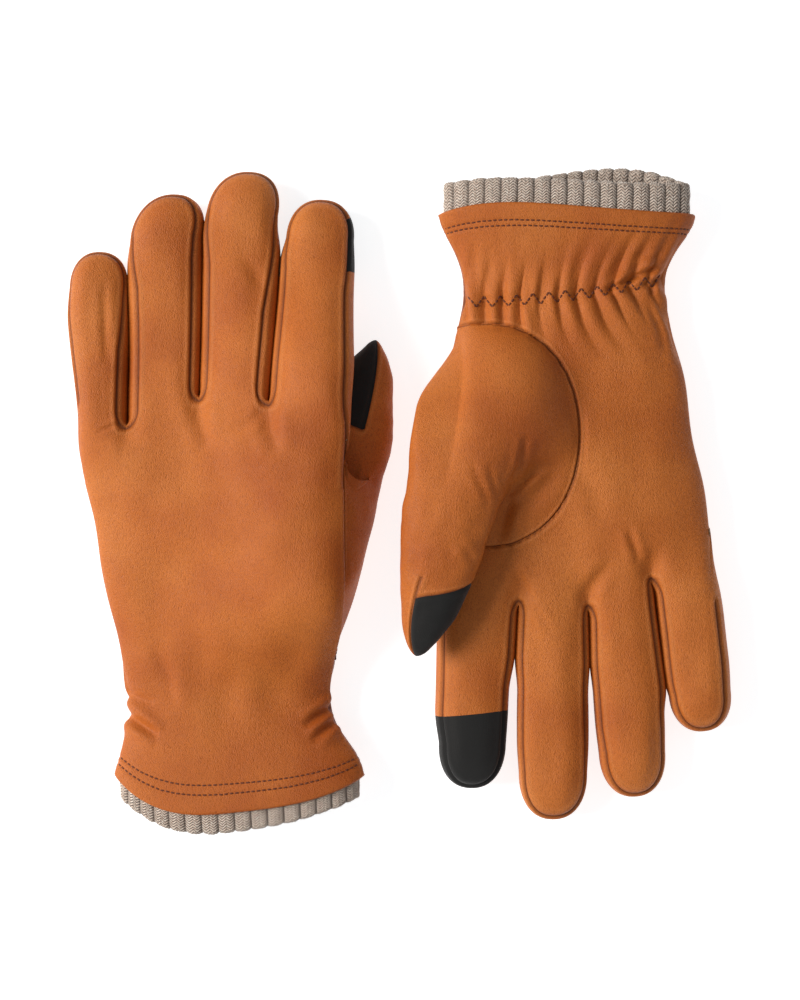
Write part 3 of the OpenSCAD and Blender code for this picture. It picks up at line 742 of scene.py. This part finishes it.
class Glove(Shell):
    """The hand and fingers of one glove, and places on them for the smaller pieces."""

    def __init__(self, g):
        grids, self.fins, rolled = build_leather(g)
        v, seam, f, own, supple = join_grids(grids)
        n = vertex_normals(v, f)
        on_palm = (n[:, 2] > 0) == (g == 1)
        bite = bite_reach(*template_uv(g, v))
        seam = np.where(on_palm & (bite > -2.5), np.minimum(seam, 1.7 * np.abs(bite)), seam)
        super().__init__(g, v, n, relief(g, v, n, seam, supple), f, own, seam)
        self.n = np.where((self.n * n).sum(1, keepdims=True) < 0.3, n, self.n)
        # Points and normals of the hand on each layer, without the rows that are turned under
        self.hand, start = ([], []), 0
        for i, grid in enumerate(grids[:8]):
            at = slice(start + rolled * COLS, start + (rolled + len(HAND_ROWS)) * COLS)
            self.hand[i // 4].append(np.hstack([self.v[at], self.n[at]]).reshape(-1, COLS, 6))
            start += len(grid[0]) * COLS

    def on_hand(self, layer, u, v, shifted=False):
        """Points and normals of the displaced hand at template places u, v."""
        if shifted:
            u = cuff_u(self.g, u, v)
        sheet = np.concatenate(self.hand[layer], 1).reshape(-1, 6)
        pu, pv = template_uv(self.g, sheet)
        out = []
        for a, b in zip(np.ravel(u), np.ravel(v)):
            d = (pu - a) ** 2 + (pv - b) ** 2
            k = np.argpartition(d, 4)[:4]
            share = 1 / (d[k] + 0.01)
            out.append((sheet[k] * (share / share.sum())[:, None]).sum(0))
        out = np.array(out)
        return out[:, :3], unit(out[:, 3:])


# ---------------------------------------------------------------- the thumb

THUMB_COLS = 112
THUMB_D = -ROOM + THUMB_T / 2
T_ALONG = np.array((math.sin(THUMB_LEAN), math.cos(THUMB_LEAN)))
T_ACROSS = np.array((math.cos(THUMB_LEAN), -math.sin(THUMB_LEAN)))
BASE_ROWS, ROOT_ROWS, NAIL_ROWS = 60, 26, 34
PAD_FROM, PAD_TO = 76, 280  # the touch pad's long edges, in degrees round the tube
PAD_START = ((0, 75, 180, 280, 360), (29, 29, 17, 11.5, 29))  # and where it starts along the tube, by degrees


def thumb_half(s):
    return THUMB_W / 2 * np.maximum(0, 1 - (np.maximum(s, 0) / THUMB_LEN) ** 1.6) ** 0.62


def thumb_ring(g, s, om):
    """Points of the tube at s along it and angle om round it."""
    a = thumb_half(s)
    b = THUMB_T / 2 * np.sqrt(np.maximum(0, 1 - (np.maximum(s, 0) / THUMB_LEN) ** 3.4))
    c, d = spow(np.cos(om), 2 / 2.25), spow(np.sin(om), 2 / 2.25)
    a = a + THUMB_MORE[g] * np.exp(-((s + 3) / 11) ** 2) * np.clip(c, 0, 1)
    s = s * (1 - THUMB_LESS[g] * smooth(s / THUMB_LEN))
    u = THUMB_ROOT[0] + T_ALONG[0] * s + T_ACROSS[0] * a * c
    v = THUMB_ROOT[1] + T_ALONG[1] * s + T_ACROSS[1] * a * c
    return place(g, u, v, THUMB_D - b * d, ROOM)


def bite_loop(g, om):
    """The seam that sets the thumb in: round the palm's opening and along the side seam."""
    al = -om
    u = BITE_C[0] + BITE_R[0] * spow(np.cos(al), 2 / BITE_POWER)
    v = BITE_C[1] + BITE_R[1] * spow(np.sin(al), 2 / BITE_POWER)
    right = side_r(v)
    u = np.minimum(u, right - 0.2)
    x = (u - (side_l(v) + right) / 2) / ((right - side_l(v)) / 2)
    return place(g, u, v, hand_d(g, 1, x, v)), u, v


def thumb_base(g, om):
    """The base: a curve from each place on the seam to the same angle of the tube's first ring."""
    deg = np.degrees(om)
    loop, lu, lv = bite_loop(g, om)
    ring0 = thumb_ring(g, 0 * om, om)
    sgn = 1.0 if g == 0 else -1.0
    up, outward = np.array((0, 0, -sgn)), np.array((sgn, 0, 0))
    along = np.array((sgn * T_ALONG[0], sgn * T_ALONG[1], 0))
    inward = unit(np.stack([sgn * (BITE_C[0] - lu), sgn * (BITE_C[1] - lv), 0 * lu], -1))
    start_out, pull_start, pull_end, lean = THUMB_EDGE[g]
    on_side = smooth((np.cos(om) - 0.25) / 0.45)[:, None]
    low_side = smooth((78 - lv) / 50)[:, None]
    side_way = outward * mix(0.75, start_out, low_side) + along * 0.85 * low_side + up * 0.42
    t0 = mix(inward * 0.72 + up * 0.70, side_way, on_side)
    span = np.linalg.norm(ring0 - loop, axis=1)[:, None]
    # Toward the index finger the tube runs back over the web, which folds in under it
    web, sunk = ((smooth((deg - start) / length) * smooth((330 - deg) / 40))[:, None]
                 for start, length in ((168, 26), (180, 16)))
    k0 = mix(mix(0.36, pull_start, on_side) * span, 6.0, web)
    k1 = mix(mix(0.42, pull_end, on_side) * span, 30.0, web)
    back = mix(along, np.array((sgn * lean, sgn * 0.98, 0)), on_side)
    p1 = loop + mix(t0, inward * 0.9 + up * 0.4, sunk) * k0
    p2 = ring0 - back * k1 - up * sunk * np.maximum(0, ((ring0 - loop) * up).sum(1, keepdims=True))
    # The edge is tucked under the panels that it is sewn to
    loop = loop - mix(up * 0.45, np.broadcast_to(outward * 1.2, loop.shape), on_side)
    t = (np.linspace(0, 1, BASE_ROWS) ** 1.25)[:, None, None]
    base = (1 - t) ** 3 * loop + 3 * (1 - t) ** 2 * t * p1 + 3 * (1 - t) * t ** 2 * p2 + t ** 3 * ring0
    if g == 0:
        low = 0.35
        base[..., 2] = low + np.logaddexp(0, (base[..., 2] - low) / 0.8) * 0.8
    return base


def build_thumb(g):
    """The thumb's base, tube and touch pad."""
    om = np.linspace(0, 2 * math.pi, THUMB_COLS, endpoint=False)
    deg = np.degrees(om)[None]
    s0 = np.interp(deg, *PAD_START)
    q = np.linspace(0, 1, NAIL_ROWS)[1:, None]
    s = np.concatenate([s0 * np.linspace(0, 1, ROOT_ROWS)[1:, None],
                        s0 + (THUMB_LEN - s0) * (1 - (1 - q) ** 1.7)])
    # The pad's long edges lean toward the outside near the tip
    near_tip = np.clip((s - 12) / (THUMB_LEN - 12), 0, 1)
    lo, hi = mix(PAD_FROM, 46.0, near_tip), mix(PAD_TO, 288.0, near_tip)
    on_pad = lo + (deg - PAD_FROM) * (hi - lo) / (PAD_TO - PAD_FROM)
    past_pad = hi + (deg - PAD_TO) * (360 - hi) / (360 - PAD_TO)
    turn = np.where(deg <= PAD_FROM, deg * lo / PAD_FROM, np.where(deg <= PAD_TO, on_pad, past_pad))
    pts = np.concatenate([thumb_base(g, om), thumb_ring(g, s, np.radians(turn))])
    rows = len(pts)
    steps = np.linalg.norm(np.diff(pts, axis=0), axis=2)
    path = np.concatenate([np.zeros((1, THUMB_COLS)), np.cumsum(steps, 0)])
    # Distances to the seams: round the base, round the pad, and one from the pad's corner toward the root
    seam = 1.7 * np.abs(path - 0.5)
    width = np.maximum(3, thumb_half(s)) * math.pi / 180
    edge = np.minimum(np.abs(deg - PAD_FROM), np.abs(deg - PAD_TO)) * width
    cross = np.abs(s - s0)
    facing = (deg >= PAD_FROM - 0.1) & (deg <= PAD_TO + 0.1)
    d_pad = np.where(s >= s0, np.minimum(edge, np.where(facing, cross, FAR)),
                     np.where(facing, cross, np.hypot(edge, cross)))
    short = np.where((s > 19) & (s < s0), np.abs(deg - PAD_FROM) * width, FAR)
    seam[BASE_ROWS:] = np.minimum(np.minimum(seam[BASE_ROWS:], d_pad), short)
    seam = seam.reshape(-1)
    quads = grid_quads(rows, THUMB_COLS, wrap=True, flip=g == 1)
    row = np.repeat(np.arange(rows - 1), THUMB_COLS)
    at = np.tile(deg[0], rows - 1)
    own = np.where(row < BASE_ROWS + 3, OWN["thumb_base"], OWN["thumb_leather"])
    own[(row >= BASE_ROWS + ROOT_ROWS - 2) & (at >= PAD_FROM) & (at < PAD_TO)] = OWN["thumb_touch_pad"]
    v = pts.reshape(-1, 3)
    n = vertex_normals(v, quads)
    u, w = template_uv(g, v)
    around, calm = np.tile(deg[0], rows), np.clip(seam / 6, 0, 1)
    # Small puckers where the thumb is eased into the palm, on the cuff side
    eased = smooth((around - 35) / 25) * smooth((175 - around) / 30)
    move = 0.8 * seam_profile(seam)
    move += 0.24 * np.cos(np.radians(around) * 34) * hump(path.reshape(-1) - 1.6, 2.6) * eased
    move += 0.5 * seeded_waves(v, 30, 61 + g) * calm
    move += 0.16 * seeded_waves(v, 9, 63 + g) * calm * smooth((w - 60) / 30)
    top = n[:, 2] * (1 if g == 1 else -1) > 0.05
    move[top] += crease_field(g, 2, u[top], w[top])
    to_tip = THUMB_LEN - np.concatenate([np.zeros((BASE_ROWS, THUMB_COLS)), s]).reshape(-1)
    return Shell(g, v, n, move * np.clip(to_tip / 3, 0, 1), quads, own, seam)


# ---------------------------------------------------------------- knit, stitches


def knit_rim(g, layer, x):
    """v of the rim of the knit."""
    mid, corner = RIM[g][layer], RIM[g][2]
    tilt = RIM_TILT[g] * x * (1 - x ** 2)
    return mid + (corner - mid) * np.abs(x) ** 2.6 + tilt * (1 - 1.5 * g * layer)


def build_knit(g):
    """The double rib knit: up the outside from inside the hem, over the rim and down inside."""
    half_loop = 240
    loop_x = np.concatenate([np.linspace(-1, 1, half_loop + 1)[:-1], np.linspace(1, -1, half_loop + 1)[:-1]])
    is_back = np.arange(len(loop_x)) < half_loop
    hem, rim = (np.where(is_back, f(g, 0, loop_x), f(g, 1, loop_x)) for f in (hem_target, knit_rim))
    outside, inside, r = KNIT_INSET, KNIT_INSET + KNIT_T, KNIT_T / 2
    stations = [(v, outside) for v in (*np.linspace(-22, -34, 12), *np.linspace(-34, KNIT_FOLD, 52)[1:])]
    stations += [(KNIT_FOLD - r * math.sin(a), outside + r * (1 - math.cos(a)))
                 for a in np.linspace(0, math.pi, 9)[1:-1]]
    stations += [(v, inside) for v in (*np.linspace(KNIT_FOLD, -34, 48), *np.linspace(-34, -10, 26)[1:])]
    n = RIBS * RIB_STEPS
    rows = []
    for v, k in stations:
        held = max(v, -CUFF_LEN)
        u = mix(side_l(held) + k, side_r(held) - k, (loop_x + 1) / 2)
        t = thick(held) / 2
        h = (t - k) * np.maximum(0, 1 - np.abs(loop_x) ** 3.0) ** (1 / 2.1)
        vv = v * hem / -CUFF_LEN if v >= -CUFF_LEN else mix(hem, rim, (-CUFF_LEN - v) / 9)
        p = place(g, u, vv, np.where(is_back, t + h, t - h))
        closed = np.vstack([p, p[:1]])
        seg = arc(closed)
        at = np.linspace(0, seg[-1], n, endpoint=False)
        rows.append(np.stack([np.interp(at, seg, column) for column in closed.T], -1))
    pts = np.array(rows)
    path = np.concatenate([[0], np.cumsum(np.linalg.norm(np.diff(pts, axis=0), axis=2).mean(1))])
    quads = grid_quads(len(rows), n, wrap=True, flip=g == 0)
    v = pts.reshape(-1, 3)
    # Each rib is one column of V stitches, and a purl channel lies between two ribs
    rib, row = np.meshgrid((np.arange(n) / RIB_STEPS) % 1, path)
    x = (rib - 0.5) * 2
    body = np.clip(1 - np.abs(x) ** 2.4, 0, 1) ** 0.6
    leg = np.abs(x) / 0.47
    slope = 1.15 * np.where(leg < 1, leg, 2 - leg)
    drift = 0.55 * flat_waves(np.arange(n)[None] * 0.08 + 0 * x, row * 0.05, 6, 75 + g)
    vee = np.cos(2 * math.pi * (row / KNIT_ROW - slope + drift))
    groove = hump(x, 0.07) + 0.6 * hump(np.abs(x) - 0.47, 0.06)
    height = 0.95 * body + 0.20 * vee * np.clip(body + 0.3, 0, 1) - 0.12 * groove * body - 0.65
    height = height.reshape(-1) + 0.12 * seeded_waves(v, 5, 71 + g)
    v = v + vertex_normals(v, quads) * height[:, None]
    # shade is 1 on the stitches' tops and low in the purl channels, the grooves and between the V stitches;
    # the knit material paints shade there
    shade = np.clip(0.2 + 0.8 * body, 0, 1) * smooth(0.62 + 0.75 * vee) * (1 - 0.35 * groove)
    attrs = {"shade": shade.reshape(-1)}
    return make_mesh(f"{SIDES[g]}_knit_cuff", v, quads, vertex_normals(v, quads), attrs)


# The rings of a stitch: share of its length, share of its radius, and how deep it has sunk
STITCH_RINGS = ((0, 0.30, 0.55), (0.06, 0.75, 0.22), (0.18, 1, 0.05), (0.5, 1.05, 0), (0.82, 1, 0.05),
                (0.94, 0.75, 0.22), (1, 0.30, 0.55))
STITCH_SIDES, STITCH_FLAT = 8, 0.8


def stitch_object(name, ends, radius):
    """Small rounded stitches. ends holds each one's (start, end, normal)."""
    verts, faces = [], []
    ang = np.linspace(0, 2 * math.pi, STITCH_SIDES, endpoint=False)[:, None]
    quads = grid_quads(len(STITCH_RINGS), STITCH_SIDES, wrap=True)
    for a, b, normal in ends:
        length = np.linalg.norm(b - a)
        along = (b - a) / length
        up = unit(normal - along * (normal @ along))
        side = np.cross(along, up)
        start = len(verts)
        for t, wide, sunk in STITCH_RINGS:
            middle = a + along * length * t - up * sunk * radius
            verts.extend(middle + radius * wide * (np.cos(ang) * side + STITCH_FLAT * np.sin(ang) * up))
        faces += (quads + start).tolist()
        faces.append([start + x for x in reversed(range(STITCH_SIDES))])
        faces.append([len(verts) - STITCH_SIDES + x for x in range(STITCH_SIDES)])
    return smooth_object(name, np.array(verts), faces)


def along_line(pts, length, space):
    """Cuts a polyline into stitches and returns their (start, end) places along it."""
    seg = arc(pts)
    count = int(seg[-1] / (length + space))
    pitch = seg[-1] / count
    ends = [(i * pitch, (i + 1) * pitch - space) for i in range(count)]
    return [[np.array([np.interp(x, seg, column) for column in pts.T]) for x in pair] for pair in ends]


def hem_stitches(glove):
    ends = []
    for layer in (0, 1):
        for from_hem in HEM_ROWS[glove.g]:
            xs = np.linspace(-0.985, 0.985, 90)
            v = -CUFF_LEN + from_hem
            u = mix(side_l(v), side_r(v), (xs + 1) / 2)
            places = glove.on_hand(layer, u, hem_v(glove.g, layer, xs, v + 0 * xs), shifted=True)
            for a, b in along_line(np.hstack(places), STITCH, STITCH_GAP):
                n = unit(a[3:] + b[3:])
                ends.append((a[:3] + n * 0.06, b[:3] + n * 0.06, n))
    return ends


def zigzag_stitches(glove):
    """Each leg of the zigzag is three stitches."""
    t = np.arange(2 * ZIGZAGS + 1)
    u = mix(side_l(0) + SEAM_MARGIN, side_r(0) - SEAM_MARGIN, t / (2 * ZIGZAGS))
    pts = np.stack([u, wrist_line(u) + np.where(t % 2 == 0, -ZIGZAG_REACH, ZIGZAG_REACH)], -1)
    ends = []
    for a, b in zip(pts[:-1], pts[1:]):
        for k in range(3):
            q = np.array([mix(a, b, k / 3 + 0.03), mix(a, b, k / 3 + 0.30)])
            p, n = glove.on_hand(1, q[:, 0], q[:, 1])
            n = n.mean(0)
            ends.append((p[0] + n * 0.08, p[1] + n * 0.08, unit(n)))
    return ends


# ---------------------------------------------------------------- materials


def linear(r, g, b):
    """A colour given as the 0 to 255 values that it shows on a screen."""
    shares = (c / 255 for c in (r, g, b))
    return (*(((c + 0.055) / 1.055) ** 2.4 if c > 0.0405 else c / 12.92 for c in shares), 1.0)


class Nodes:
    """A material whose nodes are made in short calls."""

    def __init__(self, name):
        self.mat = bpy.data.materials.new(name)
        self.mat.use_nodes = True
        self.tree = self.mat.node_tree
        self.bsdf = self.tree.nodes["Principled BSDF"]
        self.rest = self.add("Attribute", attribute_name="rest").outputs["Vector"]

    def add(self, kind, links=None, **values):
        """A node with its values set and its inputs linked."""
        node = self.tree.nodes.new("ShaderNode" + kind)
        for key, value in values.items():
            if key in node.bl_rna.properties:
                setattr(node, key, value)
            else:
                node.inputs[key.replace("_", " ")].default_value = value
        for key, source in (links or {}).items():
            if isinstance(source, (int, float, tuple)):
                node.inputs[key].default_value = source
            elif source is not None:
                self.tree.links.new(source, node.inputs[key])
        return node

    def set(self, **values):
        """Sets the shader's own sockets."""
        for key, value in values.items():
            self.bsdf.inputs[key.replace("_", " ")].default_value = value

    def plug(self, name, source):
        self.tree.links.new(source, self.bsdf.inputs[name])

    def attr(self, name):
        return self.add("Attribute", attribute_name=name).outputs["Fac"]

    def math(self, op, a, b=None):
        return self.add("Math", {0: a, 1: b}, operation=op).outputs[0]

    def less(self, a, b):
        return self.math("SUBTRACT", a, b)

    def times(self, a, b):
        return self.math("MULTIPLY", a, b)

    def near(self, distance, reach):
        """1 at a distance of 0, falling to 0 at reach."""
        return self.less(1.0, self.math("MINIMUM", self.math("DIVIDE", distance, reach), 1.0))

    def noise(self, scale, detail=3.0, rough=0.55, vector=None):
        return self.add("TexNoise", {"Vector": vector or self.rest}, Scale=scale, Detail=detail,
                        Roughness=rough).outputs["Fac"]

    def stretch(self, scale, turn=0.0):
        return self.add("Mapping", {"Vector": self.rest}, Scale=scale, Rotation=(0, 0, turn)).outputs[0]

    def ramp(self, source, stops):
        """Colours between stops, each a place and the colour's 0 to 255 values."""
        node = self.add("ValToRGB", {"Fac": source})
        while len(node.color_ramp.elements) < len(stops):
            node.color_ramp.elements.new(0.5)
        for el, (pos, rgb) in zip(node.color_ramp.elements, stops):
            el.position, el.color = pos, linear(*rgb)
        return node.outputs["Color"]

    def tint(self, base, share, amount, rgb):
        """base, with share times amount of another colour."""
        links = {0: self.times(share, amount), 6: base, 7: linear(*rgb)}
        return self.add("Mix", links, data_type="RGBA", blend_type="MIX").outputs[2]

    def bump(self, height, distance, strength, normal=None):
        links = {"Height": height, "Normal": normal}
        return self.add("Bump", links, Distance=distance, Strength=strength).outputs[0]


def leather_material():
    m = Nodes("tan_leather")
    base = m.ramp(m.noise(0.022, 2.0), ((0.3, TAN_DARK), (0.52, TAN_MID), (0.72, TAN_LIGHT)))
    base = m.tint(base, m.less(m.noise(0.11, 4.0, 0.6), 0.5), 0.5, (150, 68, 24))
    # Pores in a stretched grain, and fine wrinkles that cross at two angles
    pores = m.add("TexVoronoi", {"Vector": m.stretch((1.25, 0.8, 1.1), 0.75)}, Scale=2.3, Randomness=1.0,
                  feature="F1").outputs["Distance"]
    wrinkles = m.math("ADD", m.noise(0.95, 4.0, 0.62, m.stretch((1.0, 0.42, 1.0), 0.6)),
                      m.noise(1.25, 4.0, 0.62, m.stretch((1.0, 0.4, 1.0), -0.7)))
    base = m.tint(base, m.less(pores, 0.25), 0.6, (112, 46, 12))
    base = m.tint(base, m.less(m.times(wrinkles, 0.5), 0.46), 0.8, (120, 50, 14))
    # Painted shade in the seams' grooves, and a painted highlight on the rolled lips beside them
    seam = m.attr("seam")
    base = m.tint(base, m.math("POWER", m.near(seam, 1.5), 2.0), 0.85, (74, 26, 6))
    # A painted highlight in a band about 2 mm from each seam, on its rolled lip
    seam_lip_highlight = m.less(1.0, m.math("MINIMUM", m.math("ABSOLUTE", m.less(seam, 2.1)), 1.0))
    m.plug("Base Color", m.tint(base, seam_lip_highlight, 0.12, (236, 160, 98)))
    m.plug("Roughness", m.math("ADD", 0.40, m.times(m.noise(0.4, 3.0), 0.18)))
    grain = m.less(m.times(m.noise(5.0, 3.0), 0.35), pores)
    m.plug("Normal", m.bump(grain, 0.00026, 0.8, m.bump(wrinkles, 0.0002, 0.6)))
    m.set(Specular_IOR_Level=0.28, Coat_Weight=0.03, Coat_Roughness=0.32)
    return m.mat


def cloth_material():
    m = Nodes("black_touch_cloth")
    weave = m.noise(4.2, 3.0, 0.7)
    thread = m.add("TexVoronoi", {"Vector": m.rest}, Scale=3.4, Randomness=0.55).outputs["Distance"]
    base = m.ramp(weave, ((0.35, (3, 3, 4)), (0.65, (11, 11, 12))))
    # Painted shade in the seams' grooves: the cloth's colour goes toward a dark grey near them
    m.plug("Base Color", m.tint(base, m.near(m.attr("seam"), 1.2), 0.6, (6, 6, 7)))
    m.plug("Normal", m.bump(weave, 0.00007, 0.6, m.bump(thread, 0.00013, 0.8)))
    m.set(Roughness=0.82, Sheen_Weight=0.1, Sheen_Roughness=0.5)
    return m.mat


def knit_material():
    m = Nodes("oatmeal_rib_knit")
    fleck = m.noise(1.6, 4.0, 0.7, m.stretch((1.6, 0.8, 1.6)))
    base = m.ramp(fleck, ((0.32, (150, 118, 98)), (0.45, (216, 194, 178)), (0.57, (242, 230, 218)),
                          (0.70, (255, 250, 243))))
    base = m.tint(base, m.less(m.noise(0.35, 3.0, 0.6), 0.42), 0.8, (190, 162, 142))
    # Painted shade in the purl channels and between the stitches, where the shade attribute is low
    knit_gap_shade = m.math("POWER", m.less(1.0, m.attr("shade")), 1.5)
    m.plug("Base Color", m.tint(base, knit_gap_shade, 0.96, (56, 42, 36)))
    fibre = m.noise(6.0, 4.0, 0.75, m.stretch((1.4, 0.7, 1.4), 0.5))
    m.plug("Normal", m.bump(fibre, 0.00022, 0.8))
    m.set(Roughness=0.92, Sheen_Weight=0.25, Sheen_Roughness=0.6)
    return m.mat


def plain_material(name, pattern, stops, relief_depth, strength, **values):
    """A material whose colour and bump follow one pattern."""
    m = Nodes(name)
    kind, shape = pattern
    fac = m.add(kind, {"Vector": m.rest}, **shape).outputs["Fac"]
    m.plug("Base Color", m.ramp(fac, stops))
    m.plug("Normal", m.bump(fac, relief_depth, strength))
    m.set(**values)
    return m.mat


PILE = ("TexNoise", dict(Scale=2.6, Detail=4.0, Roughness=0.7))
TWIST = ("TexWave", dict(Scale=1.7, Distortion=1.5, Detail=2.0, bands_direction="DIAGONAL"))
CORDS = ("TexWave", dict(Scale=1.1, Distortion=0.3, Detail=1.0, bands_direction="Y"))


def make_materials():
    """The material of each slot."""
    fleece = ((0.3, (120, 98, 78)), (0.7, (176, 150, 122)))
    brown = ((0.2, (78, 32, 10)), (0.8, (122, 58, 22)))
    ecru = ((0.2, (170, 155, 136)), (0.8, (222, 210, 192)))
    return {
        "leather": leather_material(), "touch_cloth": cloth_material(), "knit": knit_material(),
        "lining": plain_material("fleece_lining", PILE, fleece, 0.0004, 0.8, Roughness=0.95,
                                 Sheen_Weight=0.3),
        "thread": plain_material("stitching_thread", TWIST, brown, 0.00008, 0.7, Roughness=0.55),
        "elastic": plain_material("wrist_elastic_band", CORDS, ecru, 0.0003, 0.6, Roughness=0.8),
    }


# ---------------------------------------------------------------- the scene


def point_camera():
    cam = bpy.data.cameras.new("photo_camera")
    cam.lens, cam.sensor_width, cam.clip_end = CAM_LENS, CAM_SENSOR, 10
    obj = link("photo_camera", cam)
    obj.location = (CAM_X, CAM_Y, VIEW_HEIGHT * CAM_LENS / CAM_SENSOR + MID_HEIGHT)
    obj.rotation_euler = (0, 0, 0)
    bpy.context.scene.camera = obj


def area(name, loc, size, power, color):
    """A light that faces the gloves."""
    light = bpy.data.lights.new(name, "AREA")
    light.shape = "RECTANGLE"
    light.size, light.size_y = size
    light.energy, light.color = power, color
    obj = link(name, light)
    obj.location = loc
    obj.rotation_euler = (-Vector(loc)).to_track_quat("-Z", "Y").to_euler()


def studio():
    world = bpy.data.worlds.new("studio")
    world.use_nodes = True
    world.node_tree.nodes["Background"].inputs["Color"].default_value = (1, 1, 1, 1)
    world.node_tree.nodes["Background"].inputs["Strength"].default_value = WORLD
    scene = bpy.context.scene
    scene.world = world
    scene.view_settings.view_transform = "Standard"
    scene.view_settings.look = "None"
    area("key", (-2.2, 0.3, 1.54), (1.3, 1.3), KEY, (1, 0.96, 0.90))
    area("fill", (0.75, 0.15, 0.85), (0.9, 0.9), FILL, (1, 0.97, 0.93))
    area("low", (0.1, -0.9, 0.6), (0.9, 0.5), LOW, (1, 0.97, 0.93))
    m = Nodes("studio_floor")
    m.set(Base_Color=(0.62, 0.66, 0.70, 1), Roughness=0.9, Emission_Color=(1, 1, 1, 1),
          Emission_Strength=FLOOR_GLOW)
    mesh = bpy.data.meshes.new("floor")
    corners = [(x * FLOOR_HALF, y * FLOOR_HALF, FLOOR_Z) for x, y in ((-1, -1), (1, -1), (1, 1), (-1, 1))]
    mesh.from_pydata(corners, [], [(0, 1, 2, 3)])
    mesh.materials.append(m.mat)
    link("floor", mesh)


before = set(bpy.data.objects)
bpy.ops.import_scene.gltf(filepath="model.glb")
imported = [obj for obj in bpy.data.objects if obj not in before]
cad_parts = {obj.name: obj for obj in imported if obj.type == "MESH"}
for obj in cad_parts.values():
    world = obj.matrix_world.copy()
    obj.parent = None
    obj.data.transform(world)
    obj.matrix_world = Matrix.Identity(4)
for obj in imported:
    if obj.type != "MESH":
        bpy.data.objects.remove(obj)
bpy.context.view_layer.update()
point_camera()
studio()
MATS = make_materials()


def finish_piece(obj, slot, node, rides):
    """Gives a piece its finish and attaches it to its body; a piece given a joint zone has its transform
    baked instead, and the zone is not used.
    """
    obj.data.materials.append(MATS[slot])
    if isinstance(rides, str):
        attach(obj, rides)
    else:
        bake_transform(obj)
    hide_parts(node)


def joint_zone(side, body, points):
    """The hand, a body and the two ends of the span between them, in metres, for finish_piece."""
    start, end = (tuple(float(c) * MM for c in p) for p in points)
    return f"{side}_hand", f"{side}_{body}", start, end


for g, side in enumerate(SIDES):
    glove = Glove(g)
    thumb = build_thumb(g)
    hand = f"{side}_hand"

    def add(obj, slot, piece, rides=hand, side=side):
        finish_piece(obj, slot, f"{side}_{piece}", rides)

    def under_thumb(mid, g=g):
        return opening_share(*template_uv(g, mid), 3.5) < 1

    def clear_of_thumb(mid, g=g):
        return (template_uv(g, mid)[1] > 4) & ~under_thumb(mid)

    def by_zigzag(mid, g=g):
        u, v = template_uv(g, mid)
        return np.abs(v - wrist_line(u)) < 3

    panels = ["back_panel", "palm_panel", "crotch_walls"]
    for owner in panels:
        add(glove.piece(owner, under_thumb if owner == "palm_panel" else None), "leather", owner)
    for fin in glove.fins:
        zone = joint_zone(side, fin.name, [place(g, *fin.uv(fin.knuckle + off, 0), FINGER_T / 2)
                                           for off in (-BLEND_REACH, BLEND_REACH)])
        owners = [f"{fin.name}_{part}" for part in ("back", "palm", "fourchette")]
        for owner in owners:
            add(glove.piece(owner), "leather", owner, zone)
        if fin.f == 3:
            owners.append("index_touch_pad")
            add(glove.piece("index_touch_pad"), "touch_cloth", "index_touch_pad", zone)
        name = f"{fin.name}_lining"
        add(glove.inner(name, owners, LINING_DEPTH), "lining", name, zone)
    zone = joint_zone(side, "thumb", [place(g, *(THUMB_ROOT + T_ALONG * off), THUMB_D, ROOM)
                                      for off in (-12.0, 9.0)])
    for owner in ("thumb_base", "thumb_leather", "thumb_touch_pad"):
        add(thumb.piece(owner), "touch_cloth" if owner.endswith("pad") else "leather", owner, zone)
    lining = thumb.inner("thumb_lining", ["thumb_leather", "thumb_touch_pad"], LINING_DEPTH)
    add(lining, "lining", "thumb_lining", zone)
    add(glove.inner("hand_lining", panels, HAND_LINING_DEPTH, clear_of_thumb), "lining", "hand_lining")
    add(glove.inner("wrist_elastic", ["palm_panel"], ELASTIC_DEPTH, by_zigzag), "elastic", "wrist_elastic")
    add(build_knit(g), "knit", "knit_cuff")
    for name, ends, radius in (("hem_stitching", hem_stitches(glove), THREAD_R),
                               ("zigzag_stitching", zigzag_stitches(glove), THREAD_R * 1.15)):
        add(stitch_object(f"{side}_{name}", ends, radius), "thread", name)
